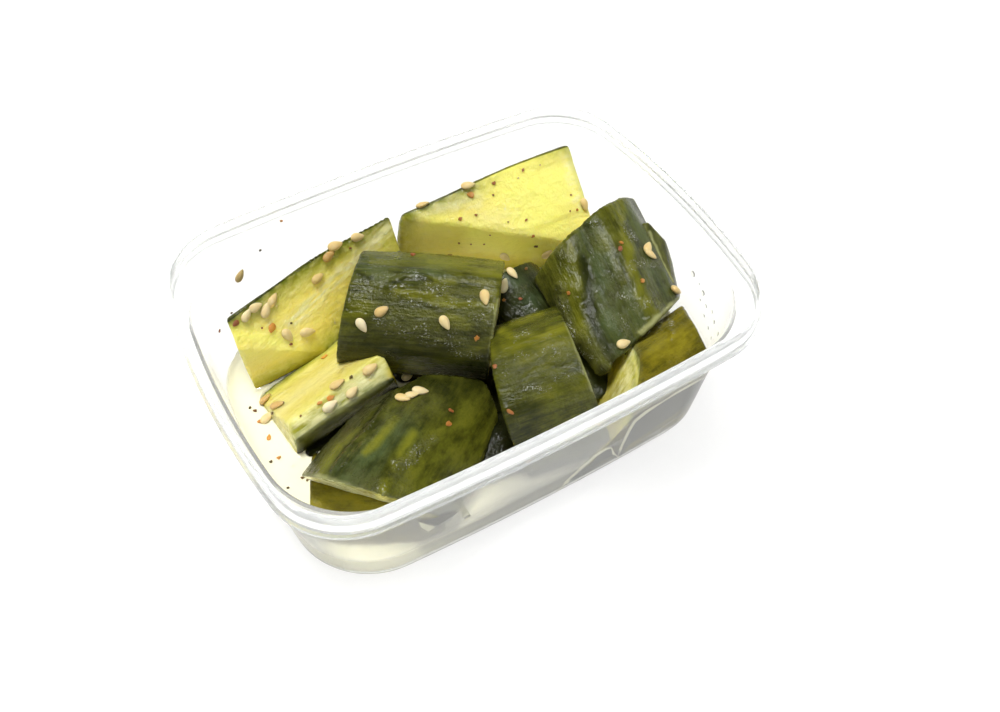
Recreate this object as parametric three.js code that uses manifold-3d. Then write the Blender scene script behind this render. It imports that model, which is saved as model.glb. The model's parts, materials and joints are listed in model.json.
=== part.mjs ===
// Cucumber salad in a small clear plastic tub: thick chunks of lightly pickled cucumber standing in a
// shallow, cloudy brine, with sesame seeds and chilli flakes stuck to them. Millimetres, +Z up. The
// origin is under the middle of the tub, on the surface that it stands on; +X runs along the tub and
// -Y is its front.
import * as THREE from 'three';
import { mergeVertices } from 'three/addons/utils/BufferGeometryUtils.js';
import Module from 'manifold-3d';

const wasm = await Module();
wasm.setup();

// ---------------------------------------------------------------- driving dimensions
const GAP = 0.3; // clearance between pieces that touch

// The tub in plan is a rectangle with round corners and slightly bowed sides.
const LIP = { halfLength: 59, halfWidth: 43.1, corner: 16.7 }; // outside of the lip, at the top
const LEDGE = { halfLength: 56.4, halfWidth: 39.4, corner: 19.9 }; // inside of the wall, at the ledge
const BASE = { halfLength: 52.7, halfWidth: 35.7, corner: 18 }; // inside of the wall, at the base
const LONG_SIDE_BOW = 757; // radius of the long sides in plan
const SHORT_SIDE_BOW = 190; // radius of the short sides in plan
const TUB_HEIGHT = 42;
const LEDGE_HEIGHT = 36;
const WALL = 0.8;
const LIP_WALL = 0.7;
const FLOOR_TOP = 1.6; // the floor is 0.8 thick and stands on a low foot ring
const BRINE_LEVEL = 9.9;
const HEADROOM = 70; // no chunk reaches as high as this
const CORNER_STEPS = 6;
const SIDE_STEPS = 2;

// One sesame seed and one flake of chilli.
const SEED = { length: 3.5, width: 2.1, thickness: 1.2, taper: 0.3, sunk: 0.2 };
const FLAKE = { radius: 0.75, thickness: 0.45, sides: 5, sunk: 0.12 };
const LEAST_SHARE = 0.7; // a topping that its neighbours would cut to less than this is left out
const ROUND_A_TOPPING = [1.3, 1.5, 1.8]; // how much bigger its hollow in the brine is, each way

// The chunks, those on top first: where two would meet, the later one gives way. at is the middle of
// the cucumber's core line; heading, pitch and roll turn a chunk that lies along +X with its skin
// down and its cut faces up. A face is a cut along the cucumber: its normal is turned about the core
// line and leans towards the chunk's end, off is its distance from the middle, and start and end are
// the directions that the two cross cuts face. A groove runs along the skin at an angle from straight
// down. squash flattens a crushed chunk.
const SPARE_LENGTH = 8; // of uncut cucumber past each slanting end
const CHUNKS = {
  chunk_centre: {
    at: [-4.8, 11.5, 20.9], heading: -34.5, pitch: -1.5, roll: 223, radius: 14, length: 34,
    faces: [{ turn: 0, lean: 0, off: 0 }], start: [-1, -0.14, 0], end: [1, 0.07, 0],
  },
  wedge_right_corner: {
    at: [32.9, -30.3, 12.1], heading: 6, pitch: 4, roll: 169, radius: 13.5, length: 35.2,
    faces: [{ turn: -10, lean: 11.5, off: 10 }], start: [-1, -0.84, -1.15], end: [1, 0.43, -0.28],
  },
  chunk_right_back: {
    at: [38, -3, 18.3], heading: 84, pitch: 19.5, roll: 182.5, radius: 16.2, length: 26.8,
    squash: 0.83, faces: [{ turn: 17, lean: -12, off: 1.7 }], start: [-1, 0.42, 0.1],
    end: [1, -0.33, 0.2],
    grooves: [{ angle: -18, depth: 2.4, width: 10 }, { angle: 28, depth: 1, width: 8 }],
  },
  chunk_right_front: {
    at: [12.5, -17.7, 13.2], heading: -12, pitch: 8, roll: 177, radius: 18, length: 16.8,
    faces: [{ turn: 0, lean: 0, off: 7 }], start: [-1, -0.23, 0.2], end: [1, 0.05, -0.11],
  },
  wedge_back_left: {
    at: [-25, 21.8, 24], heading: 10, pitch: 9.5, roll: 52, radius: 11.5, length: 46,
    squash: 0.84, faces: [{ turn: 29, lean: -11, off: 2 }, { turn: 6.5, lean: 8.5, off: -3.6 }],
    start: [-1, 0.27, -0.23], end: [1, -0.25, 0.28],
  },
  wedge_front_left: {
    at: [-31.5, 9.3, 15.4], heading: 5.5, pitch: 11, roll: -3, radius: 10.8, length: 29,
    squash: 0.92, faces: [{ turn: -22.5, lean: -2.5, off: 1.5 }, { turn: 41, lean: 2, off: 7.7 }],
    start: [-1, 0, 0.31], end: [1, -0.25, 0],
  },
  chunk_front: {
    at: [-23.6, -14.9, 12], heading: 37.5, pitch: -13, roll: 180, radius: 16.2, length: 31.7,
    squash: 0.63, faces: [{ turn: 21.5, lean: 24.5, off: -1.6 }], start: [-1, 0.11, 0.73],
    end: [1, -0.48, 0],
  },
  wedge_back: {
    at: [24.3, 20, 23.8], heading: 0.5, pitch: 0.5, roll: 63.5, radius: 16.8, length: 45.2,
    squash: 0.95, faces: [{ turn: 30, lean: -26, off: -2 }, { turn: -18, lean: -6, off: -1.1 }],
    start: [-1, 0.06, 0.12], end: [1, -0.05, 0],
  },
  chunk_right_behind: {
    at: [50.7, -2.4, 23.1], heading: 70, pitch: 21, roll: 180, radius: 5, length: 13,
    faces: [{ turn: -120, lean: 26, off: 5.9 }], start: [-1, -0.6, 0], end: [1, 0, 0.3],
  },
  chunk_front_low: {
    at: [-34, -21, 3.5], heading: -31, pitch: 0, roll: 180, radius: 13, length: 29, squash: 0.8,
    faces: [{ turn: 0, lean: 0, off: 1.5 }], start: [-1, 0.1, 0], end: [1, 0, 0],
  },
  chunk_low_middle: {
    at: [20.2, -4, 8.2], heading: 97, pitch: 16, roll: 180, radius: 11.5, length: 38,
    faces: [{ turn: 0, lean: 0, off: 5 }], start: [-1, 0, 0], end: [1, 0, 0],
  },
  chunk_low_front: {
    at: [-4, -22, 3], heading: -10, pitch: 0, roll: 180, radius: 10, length: 14,
    faces: [{ turn: 0, lean: 0, off: 0 }], start: [-1, 0, 0], end: [1, 0, 0],
  },
};

// Where the photograph was taken from, and the seeds and flakes seen in it: each is given by its
// place in the picture, in pixels, and lies where the line of sight meets a chunk. The third number
// is the direction of a seed's long axis in the picture, in degrees from the right, upwards.
const VIEW = { eye: [-73.3, -131.6, 207.2], azimuth: -32.2, elevation: 51.95, roll: 1.83, focal: 1027.6 };
const PICTURE = { width: 1000, height: 712 };
const SEED_SPOTS = [
  [357, 237, 5], [335, 246, 25], [328, 256, 30], [317, 278, 30], [272, 300, 60], [255, 307, 20],
  [246, 315, 55], [265, 310, 75], [307, 332, 5], [287, 335, -40], [423, 206, 20], [468, 186, 15],
  [584, 205, -70], [505, 256, -60], [547, 253, 70], [362, 325, -60], [382, 311, 30],
  [445, 323, -60], [485, 298, -80], [504, 286, 75], [512, 274, -55], [266, 400, 75], [278, 406, 0],
  [268, 418, 45], [330, 406, 35], [352, 392, 45], [338, 385, 40], [370, 369, 35], [408, 377, 45],
  [403, 399, -30], [412, 396, 20], [420, 392, 15], [647, 248, 60], [650, 255, -30],
  [675, 291, 10], [623, 344, 20],
];
const FLAKE_SPOTS = [
  [272, 328], [494, 183], [460, 219], [533, 236], [477, 338], [451, 411], [449, 424], [330, 400],
  [320, 404], [510, 412], [621, 243], [620, 249], [642, 281], [569, 293], [520, 299],
];

// ---------------------------------------------------------------- tools for shapes
const radians = THREE.MathUtils.degToRad;

// A closed geometry from rings of equally many points, each ring counter-clockwise seen from the next.
function loft(rings) {
  const count = rings[0].length;
  const points = rings.flat();
  const centreOf = (ring) => ring.reduce((sum, p) => sum.add(p), new THREE.Vector3()).divideScalar(count);
  const first = points.length;
  points.push(centreOf(rings[0]), centreOf(rings.at(-1)));
  const index = [];
  for (let side = 0; side < count; side++) {
    const next = (side + 1) % count;
    for (let row = 0; row + 1 < rings.length; row++) {
      const [a, b] = [row * count + side, row * count + next];
      index.push(a, b, b + count, a, b + count, a + count);
    }
    const last = (rings.length - 1) * count;
    index.push(first, next, side, first + 1, last + side, last + next);
  }
  const geometry = new THREE.BufferGeometry().setFromPoints(points);
  geometry.setIndex(index);
  return geometry;
}

function solidOf(geometry) {
  const bare = geometry.clone();
  bare.deleteAttribute('normal');
  bare.deleteAttribute('uv');
  const merged = mergeVertices(bare, 1e-4);
  return new wasm.Manifold(new wasm.Mesh({
    numProp: 3,
    vertProperties: Float32Array.from(merged.attributes.position.array),
    triVerts: Uint32Array.from(merged.index.array),
  }));
}

function geometryOf(solid) {
  const mesh = solid.getMesh();
  const geometry = new THREE.BufferGeometry();
  geometry.setAttribute('position', new THREE.BufferAttribute(Float32Array.from(mesh.vertProperties), 3));
  geometry.setIndex(new THREE.BufferAttribute(Uint32Array.from(mesh.triVerts), 1));
  return geometry;
}

// The biggest body of a solid, without the scraps that a cut leaves loose.
function mainBody(solid) {
  return solid.decompose().reduce((best, body) => (body.volume() > best.volume() ? body : best));
}

// A block that fills the side of a plane that its normal points to.
function halfSpace(normal, distance) {
  const size = 2 * TUB_HEIGHT + 2 * LIP.halfLength;
  const block = new THREE.BoxGeometry(size, size, size);
  block.translate(0, 0, distance + size / 2);
  const turn = new THREE.Quaternion().setFromUnitVectors(new THREE.Vector3(0, 0, 1), normal);
  return block.applyQuaternion(turn);
}

// ---------------------------------------------------------------- the tub
// The plan outline at one height: four corner arcs that run smoothly into four long side arcs.
function outline(size, offset, z) {
  const long = LONG_SIDE_BOW + offset;
  const short = SHORT_SIDE_BOW + offset;
  const corner = size.corner + offset;
  const longCentre = new THREE.Vector2(0, size.halfWidth + offset - long);
  const shortCentre = new THREE.Vector2(size.halfLength + offset - short, 0);
  const across = shortCentre.clone().sub(longCentre);
  const apart = across.length();
  const [reachLong, reachShort] = [long - corner, short - corner];
  const along = (apart ** 2 + reachLong ** 2 - reachShort ** 2) / (2 * apart);
  const aside = Math.sqrt(reachLong ** 2 - along ** 2);
  across.normalize();
  const cornerCentre = longCentre.clone().addScaledVector(across, along);
  cornerCentre.add(new THREE.Vector2(across.y, -across.x).multiplyScalar(aside));
  const startAngle = cornerCentre.clone().sub(shortCentre).angle();
  const endAngle = cornerCentre.clone().sub(longCentre).angle();
  const quarter = [];
  const arc = (centre, radius, from, to, steps) => {
    for (let i = 0; i < steps; i++) {
      const angle = THREE.MathUtils.lerp(from, to, i / steps);
      quarter.push([centre.x + radius * Math.cos(angle), centre.y + radius * Math.sin(angle)]);
    }
  };
  arc(shortCentre, short, 0, startAngle, SIDE_STEPS);
  arc(cornerCentre, corner, startAngle, endAngle, CORNER_STEPS);
  arc(longCentre, long, endAngle, Math.PI / 2, SIDE_STEPS);
  const back = [0, size.halfWidth + offset];
  const firstQuarter = quarter.slice(1);
  const left = [...firstQuarter].reverse().map(([x, y]) => [-x, y]);
  const top = [...firstQuarter, back, ...left];
  const bottom = [...top].reverse().map(([x, y]) => [x, -y]);
  const ends = size.halfLength + offset;
  return [[ends, 0], ...top, [-ends, 0], ...bottom].map(([x, y]) => new THREE.Vector3(x, y, z));
}

// The inside of the wall at a height; it tapers from the ledge down to the base.
function wallAt(z) {
  const share = z / LEDGE_HEIGHT;
  return {
    halfLength: THREE.MathUtils.lerp(BASE.halfLength, LEDGE.halfLength, share),
    halfWidth: THREE.MathUtils.lerp(BASE.halfWidth, LEDGE.halfWidth, share),
    corner: THREE.MathUtils.lerp(BASE.corner, LEDGE.corner, share),
  };
}

// From the middle of the underside, over the foot ring, up the outside, over the lip and down inside.
function tubGeometry() {
  return loft([
    outline(BASE, -5, 0.8), outline(BASE, -4.4, 0), outline(BASE, -1.9, 0), outline(BASE, -0.3, 0.5),
    outline(BASE, 0.55, 1.7), outline(wallAt(3.2), WALL, 3.2), outline(wallAt(35), WALL, 35),
    outline(LIP, 1, 35.4), outline(LIP, 1, 36.2), outline(LIP, 0.35, 36.6),
    outline(LIP, 0.5, 38.3), outline(LIP, 0, 39.2), outline(LIP, 0, 41.7),
    outline(LIP, -0.2, TUB_HEIGHT), outline(LIP, -LIP_WALL + 0.15, TUB_HEIGHT),
    outline(LIP, -LIP_WALL, 41.7), outline(LIP, -LIP_WALL, 36.6), outline(LIP, -1.2, LEDGE_HEIGHT),
    outline(LEDGE, 0.5, LEDGE_HEIGHT), outline(wallAt(35.5), 0, 35.5), outline(wallAt(5), 0, 5),
    outline(wallAt(2.8), -0.7, 2.8), outline(wallAt(1.9), -2.2, 1.9), outline(BASE, -4, FLOOR_TOP),
  ]);
}

// The room inside the tub up to a height, kept clear of its walls.
function roomUpTo(top) {
  const rings = [
    outline(BASE, -4 - GAP, FLOOR_TOP + GAP), outline(wallAt(2.2), -2.4 - GAP, 2.2),
    outline(wallAt(3.1), -0.8 - GAP, 3.1), outline(wallAt(5), -GAP, 5),
  ];
  if (top > LEDGE_HEIGHT) {
    rings.push(outline(wallAt(35), -GAP, 35));
    rings.push(outline(LEDGE, -GAP, LEDGE_HEIGHT + 0.2));
  }
  rings.push(outline(wallAt(Math.min(top, LEDGE_HEIGHT)), -GAP, top));
  return loft(rings);
}

// ---------------------------------------------------------------- the cucumber
// How far the skin stands from the core line: shallow ribs, slow swellings and pressed grooves.
function skinRadius(chunk, angle, x) {
  const swell = 0.02 * Math.sin(x / 7 + chunk.radius) * Math.cos(angle * 2 + chunk.length);
  const ribs = 0.012 * Math.cos(angle * 9 + x / 14);
  let radius = chunk.radius * (1 + swell + ribs);
  for (const groove of chunk.grooves ?? []) {
    const across = (chunk.radius * (angle - radians(groove.angle))) / (groove.width / 2);
    radius -= groove.depth * Math.exp(-across * across);
  }
  return radius;
}

// A length of cucumber along X before it is cut, its skin at the bottom where the angle is 0.
function roundBar(chunk, grow) {
  const sides = 30;
  const rows = 8;
  const half = chunk.length / 2 + SPARE_LENGTH;
  const rings = [];
  for (let row = 0; row <= rows; row++) {
    const x = THREE.MathUtils.lerp(-half, half, row / rows);
    const ring = [];
    for (let side = 0; side < sides; side++) {
      const angle = ((side / sides) * 2 - 1) * Math.PI;
      const radius = skinRadius(chunk, angle, x) + grow;
      const height = -radius * Math.cos(angle) * (chunk.squash ?? 1);
      ring.push(new THREE.Vector3(x, radius * Math.sin(angle), height));
    }
    rings.push(ring);
  }
  return loft(rings);
}

// One chunk where it lies. grow makes it bigger all round, to cut its neighbours back by the gap.
function chunkSolid(chunk, grow) {
  let solid = solidOf(roundBar(chunk, grow));
  for (const face of chunk.faces) {
    const lean = radians(face.lean);
    const turn = radians(face.turn);
    const normal = new THREE.Vector3(
      Math.sin(lean), -Math.sin(turn) * Math.cos(lean), Math.cos(turn) * Math.cos(lean),
    );
    solid = solid.subtract(solidOf(halfSpace(normal, face.off + grow)));
  }
  for (const facing of [chunk.start, chunk.end]) {
    const normal = new THREE.Vector3(...facing).normalize();
    const distance = (chunk.length / 2) * Math.abs(normal.x) + grow;
    solid = solid.subtract(solidOf(halfSpace(normal, distance)));
  }
  const turn = new THREE.Euler(radians(chunk.roll), -radians(chunk.pitch), radians(chunk.heading), 'ZYX');
  const placed = geometryOf(solid);
  placed.applyQuaternion(new THREE.Quaternion().setFromEuler(turn));
  placed.translate(...chunk.at);
  return solidOf(placed);
}

// ---------------------------------------------------------------- seeds and flakes
// The line of sight through a point of the picture, and the picture's own right and up directions.
const back = new THREE.Vector3(
  Math.sin(radians(VIEW.azimuth)) * Math.cos(radians(VIEW.elevation)),
  -Math.cos(radians(VIEW.azimuth)) * Math.cos(radians(VIEW.elevation)),
  Math.sin(radians(VIEW.elevation)),
);
const levelRight = new THREE.Vector3(0, 0, 1).cross(back).normalize();
const levelUp = back.clone().cross(levelRight);
const pictureRight = levelRight.clone().applyAxisAngle(back, radians(VIEW.roll));
const pictureUp = levelUp.clone().applyAxisAngle(back, radians(VIEW.roll));

function sightLine(pixelX, pixelY) {
  const direction = back.clone().multiplyScalar(-VIEW.focal);
  direction.addScaledVector(pictureRight, pixelX - PICTURE.width / 2);
  direction.addScaledVector(pictureUp, PICTURE.height / 2 - pixelY);
  return new THREE.Raycaster(new THREE.Vector3(...VIEW.eye), direction.normalize());
}

// A seed's long axis is X; it is blunt at one end and pointed at the other.
function seedGeometry() {
  const seed = new THREE.SphereGeometry(1, 6, 4);
  const position = seed.attributes.position;
  for (let i = 0; i < position.count; i++) {
    const narrow = 1 - SEED.taper * position.getX(i);
    position.setXYZ(i, position.getX(i), position.getY(i) * narrow, position.getZ(i));
  }
  return seed.scale(SEED.length / 2, SEED.width / 2, SEED.thickness / 2);
}

function flakeGeometry() {
  const flake = new THREE.CylinderGeometry(FLAKE.radius * 0.8, FLAKE.radius, FLAKE.thickness, FLAKE.sides);
  return flake.rotateX(Math.PI / 2);
}

// Lays a topping on the surface at a hit, its long axis turned as it is in the picture.
function layOn(geometry, hit, turn, lift) {
  const up = hit.face.normal;
  const long = pictureRight.clone().multiplyScalar(Math.cos(radians(turn)));
  long.addScaledVector(pictureUp, Math.sin(radians(turn)));
  long.addScaledVector(up, -long.dot(up)).normalize();
  const across = up.clone().cross(long);
  const place = new THREE.Matrix4().makeBasis(long, across, up);
  place.setPosition(hit.point.clone().addScaledVector(up, lift));
  return solidOf(geometry.applyMatrix4(place));
}

// ---------------------------------------------------------------- putting it together
const room = solidOf(roomUpTo(HEADROOM));
const grown = {};
const solids = {};
for (const [name, chunk] of Object.entries(CHUNKS)) {
  let solid = chunkSolid(chunk, 0).intersect(room);
  for (const earlier of Object.values(grown)) solid = solid.subtract(earlier);
  solids[name] = mainBody(solid);
  grown[name] = chunkSolid(chunk, GAP);
}

const bareChunks = Object.entries(solids).map(([name, solid]) => {
  const mesh = new THREE.Mesh(geometryOf(solid));
  mesh.name = name;
  return mesh;
});

// Fuses a seed or flake to the chunk that its line of sight meets, unless it would cross a neighbour.
const nearBrine = [];
function addTopping(spot, geometry, lift) {
  const [hit] = sightLine(spot[0], spot[1]).intersectObjects(bareChunks);
  if (!hit) return;
  const turn = spot[2] ?? 0;
  let topping = layOn(geometry.clone(), hit, turn, lift).intersect(room);
  const whole = topping.volume();
  for (const [name, neighbour] of Object.entries(grown)) {
    if (name !== hit.object.name) topping = topping.subtract(neighbour);
  }
  if (topping.volume() < LEAST_SHARE * whole) return;
  solids[hit.object.name] = solids[hit.object.name].add(topping);
  nearBrine.push(layOn(geometry.clone().scale(...ROUND_A_TOPPING), hit, turn, lift));
}
for (const spot of SEED_SPOTS) addTopping(spot, seedGeometry(), SEED.thickness / 2 - SEED.sunk);
for (const spot of FLAKE_SPOTS) addTopping(spot, flakeGeometry(), FLAKE.thickness / 2 - FLAKE.sunk);

let brine = solidOf(roomUpTo(BRINE_LEVEL));
for (const neighbour of [...Object.values(grown), ...nearBrine]) brine = brine.subtract(neighbour);

// ---------------------------------------------------------------- the scene graph
const salad = new THREE.Group();
salad.name = 'tub_of_cucumber_salad';

function addNode(name, geometry, colour, roughness, opacity = 1) {
  const material = new THREE.MeshStandardMaterial({ color: colour, roughness, metalness: 0 });
  material.opacity = opacity;
  material.transparent = opacity < 1;
  const mesh = new THREE.Mesh(geometry, material);
  mesh.name = name;
  salad.add(mesh);
}

addNode('tub', tubGeometry(), 0xe9eeee, 0.25, 0.35);
addNode('brine', geometryOf(mainBody(brine)), 0xe6e2c4, 0.15);
for (const [name, solid] of Object.entries(solids)) {
  const colour = name.startsWith('wedge') ? 0xcfc65a : 0x3d4a23;
  addNode(name, geometryOf(mainBody(solid)), colour, 0.4);
}

export default salad;
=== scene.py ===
import json
import math
import random

import bpy
from mathutils import Euler, Matrix, Vector, noise


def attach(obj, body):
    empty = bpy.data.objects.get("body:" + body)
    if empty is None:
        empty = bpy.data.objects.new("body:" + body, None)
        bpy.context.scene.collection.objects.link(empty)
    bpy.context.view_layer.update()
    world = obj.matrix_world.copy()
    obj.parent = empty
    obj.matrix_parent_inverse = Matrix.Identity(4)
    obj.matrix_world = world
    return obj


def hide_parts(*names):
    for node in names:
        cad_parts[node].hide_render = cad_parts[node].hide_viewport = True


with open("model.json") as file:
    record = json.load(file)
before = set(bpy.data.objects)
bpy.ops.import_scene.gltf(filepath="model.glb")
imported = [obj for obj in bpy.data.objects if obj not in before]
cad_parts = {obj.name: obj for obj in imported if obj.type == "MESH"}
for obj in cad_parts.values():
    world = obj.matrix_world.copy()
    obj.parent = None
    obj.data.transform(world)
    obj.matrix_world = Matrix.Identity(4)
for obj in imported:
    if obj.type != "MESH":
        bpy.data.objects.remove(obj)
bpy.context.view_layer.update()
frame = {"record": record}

MM = 0.001

# ---------------------------------------------------------------- driving dimensions, in mm
LIP = (59, 43.1, 16.7)  # outside of the lip: half length, half width, corner radius
LEDGE = (56.4, 39.4, 19.9)  # inside of the wall, at the ledge
BASE = (52.7, 35.7, 18)  # inside of the wall, at the base
LONG_SIDE_BOW = 757  # radii of the bowed sides
SHORT_SIDE_BOW = 190
TUB_HEIGHT = 42
LEDGE_HEIGHT = 36
UNDER_THE_LEDGE = 35
LIP_SHOULDER = 36.6
LIP_CROWN = 41.7  # where the lip starts to round over
WALL = 0.8
LIP_WALL = 0.7
LIP_EDGE = 0.18
FLOOR_TOP = 1.6
FLOOR_ROUNDING = ((2.4, 2.2), (0.8, 3.1), (0, 5))  # how far inside of the wall, and at what height
BRINE_LEVEL = 9.9
HEADROOM = 70
CORNER_STEPS = 24
SIDE_STEPS = 20

BAR_SIDES = 120
BAR_ROWS = 40
SPARE_LENGTH = 8  # past each end, before the cross cuts
SWELLING, RIB_HEIGHT, RIBS = 0.02, 0.012, 9  # the first two are shares of the radius
NEIGHBOUR_GAP = 0.15
WALL_GAP = 0.1
CUCUMBER_VOXEL = 0.32
BRINE_VOXEL = 0.5
USUAL_SOFTENING = 3
USUAL_WRINKLES = 0.8
FOLD_HEIGHT, CREST_HEIGHT = 0.3, 0.16
PEBBLE_HEIGHT, SHEEN_PEBBLE_HEIGHT = 0.05, 0.1
FLESH_WAVES, FLESH_GRAIN, SEEDY_MIDDLE = 0.16, 0.05, 0.18
RIDGE_HEIGHT, SWELL_HEIGHT, GROOVE_DEPTH = 0.7, 0.8, 0.8
RIPPLE = 0.08
BRINE_REACH = 0.15  # into the wall and the chunks, so that no air gap shows
ON_A_CUT = 0.4  # how near a cut's plane a point of the cut lies
UNDER_THE_SKIN = 0.45  # a deeper point is on a cut, or where a neighbour or the wall presses
FILM = 0.0001  # in metres, as the pieces are by then, and so is the step
STEP_INTO_WALL = 0.0002
FILM_DEPTH = 0.35  # how far through the wall a film lies, as a share
CLIMB = (0.7, 0.8)  # how high the brine climbs where it meets something, and how far out

SEED_SIZE = (3.7, 2.15, 1.4)
SEED_SCALES = (0.92, 1.06)
SEED_ROLL = 14
SEED_LIFT = 0.42
FLAKE_THICKNESS = 0.3
FLAKE_EDGE = 0.08
FLAKE_LIFT = 0.1
DROPLET_HEIGHT = 0.55  # of half a ball

# Every chunk as in the solids: turn is its roll, pitch and heading, a face is a cut along the cucumber
# (turn, lean, distance from the middle), and start and end are what the cross cuts face. Soft is how
# often its edges are smoothed, and film how far it stays off the wall.
CHUNKS = {
    "chunk_centre": dict(
        at=(-4.8, 11.5, 20.9), turn=(223, -1.5, -34.5), radius=14, length=34,
        faces=[(0, 0, 0)], start=(-1, -0.14, 0), end=(1, 0.07, 0), wrinkles=0.7),
    "wedge_right_corner": dict(
        at=(32.9, -30.3, 12.1), turn=(169, 4, 6), radius=13.5, length=35.2,
        faces=[(-10, 11.5, 10)], start=(-1, -0.84, -1.15), end=(1, 0.43, -0.28), wrinkles=0.6),
    "chunk_right_back": dict(
        at=(38, -3, 18.3), turn=(182.5, 19.5, 84), radius=16.2, length=26.8, squash=0.83,
        faces=[(17, -12, 1.7)], start=(-1, 0.42, 0.1), end=(1, -0.33, 0.2),
        grooves=[(-18, 2.4, 10), (28, 1, 8)], wrinkles=1.1),
    "chunk_right_front": dict(
        at=(12.5, -17.7, 13.2), turn=(177, 8, -12), radius=18, length=16.8,
        faces=[(0, 0, 7)], start=(-1, -0.23, 0.2), end=(1, 0.05, -0.11), wrinkles=0.5),
    "wedge_back_left": dict(
        at=(-25, 21.8, 24), turn=(52, 9.5, 10), radius=11.5, length=46, squash=0.84, soft=12,
        faces=[(29, -11, 2), (6.5, 8.5, -3.6)], start=(-1, 0.27, -0.23), end=(1, -0.25, 0.28)),
    "wedge_front_left": dict(
        at=(-31.5, 9.3, 15.4), turn=(-3, 11, 5.5), radius=10.8, length=29, squash=0.92, soft=8,
        faces=[(-22.5, -2.5, 1.5), (41, 2, 7.7)], start=(-1, 0, 0.31), end=(1, -0.25, 0)),
    "chunk_front": dict(
        at=(-23.6, -14.9, 12), turn=(180, -13, 37.5), radius=16.2, length=31.7, squash=0.63,
        faces=[(21.5, 24.5, -1.6)], start=(-1, 0.11, 0.73), end=(1, -0.48, 0), wrinkles=0.6),
    "wedge_back": dict(
        at=(24.3, 20, 23.8), turn=(63.5, 0.5, 0.5), radius=16.8, length=45.2, squash=0.95, soft=60,
        faces=[(30, -26, -2), (-18, -6, -1.1)], start=(-1, 0.06, 0.12), end=(1, -0.05, 0)),
    "chunk_right_behind": dict(
        at=(50.7, -2.4, 23.1), turn=(180, 21, 70), radius=5, length=13,
        faces=[(-120, 26, 5.9)], start=(-1, -0.6, 0), end=(1, 0, 0.3)),
    "chunk_front_low": dict(
        at=(-34, -21, 3.5), turn=(180, 0, -31), radius=13, length=29, squash=0.8, film=0.9,
        faces=[(0, 0, 1.5)], start=(-1, 0.1, 0), end=(1, 0, 0)),
    "chunk_low_middle": dict(
        at=(20.2, -4, 8.2), turn=(180, 16, 97), radius=11.5, length=38,
        faces=[(0, 0, 5)], start=(-1, 0, 0), end=(1, 0, 0)),
    "chunk_low_front": dict(
        at=(-4, -22, 3), turn=(180, 0, -10), radius=10, length=14, film=0.9,
        faces=[(0, 0, 0)], start=(-1, 0, 0), end=(1, 0, 0)),
}

# The photograph's view, and what lies where in it, in pixels. A seed: its place, the direction of its
# long axis, and how brown it is. A flake: its place, direction, length in mm, and how dark it is.
VIEW_EYE = (-73.3, -131.6, 207.2)
VIEW_AZIMUTH, VIEW_ELEVATION, VIEW_ROLL = -32.2, 51.95, 1.83
FOCAL_PIXELS = 1027.6
PICTURE = (1000, 712)
SENSOR = 36
MARK_SPREAD = 1.5  # where a mark has faded out, in half widths
MARK_WANDER = 1.6  # how far it strays, in pixels
SEED_SPOTS = [
    (357, 237, 5, 0.4), (335, 246, 25, 0.5), (328, 256, 30, 0.9), (317, 278, 30, 0.5),
    (272, 300, 60, 0.4), (255, 307, 20, 0.3), (246, 315, 55, 0.2), (265, 310, 75, 0.3),
    (307, 332, 5, 0.3), (287, 335, -40, 0.3), (423, 206, 20, 0.5), (468, 186, 15, 0.4),
    (584, 205, -70, 0.4), (505, 256, -60, 0.2), (547, 253, 70, 0.3), (362, 325, -60, 0.0),
    (382, 311, 30, 0.6), (445, 323, -60, 0.3), (485, 298, -80, 0.4), (504, 286, 75, 0.1),
    (512, 274, -55, 0.2), (266, 400, 75, 0.8), (278, 406, 0, 0.8), (268, 418, 45, 0.3),
    (330, 406, 35, 0.0), (352, 392, 45, 0.3), (338, 385, 40, 0.5), (370, 369, 35, 0.4),
    (408, 377, 45, 0.1), (403, 399, -30, 0.4), (412, 396, 20, 0.3), (420, 392, 15, 0.2),
    (647, 248, 60, 0.4), (650, 255, -30, 0.4), (675, 291, 10, 0.6), (623, 344, 20, 0.3),
    (239, 275, 85, 0.5),
]
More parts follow.
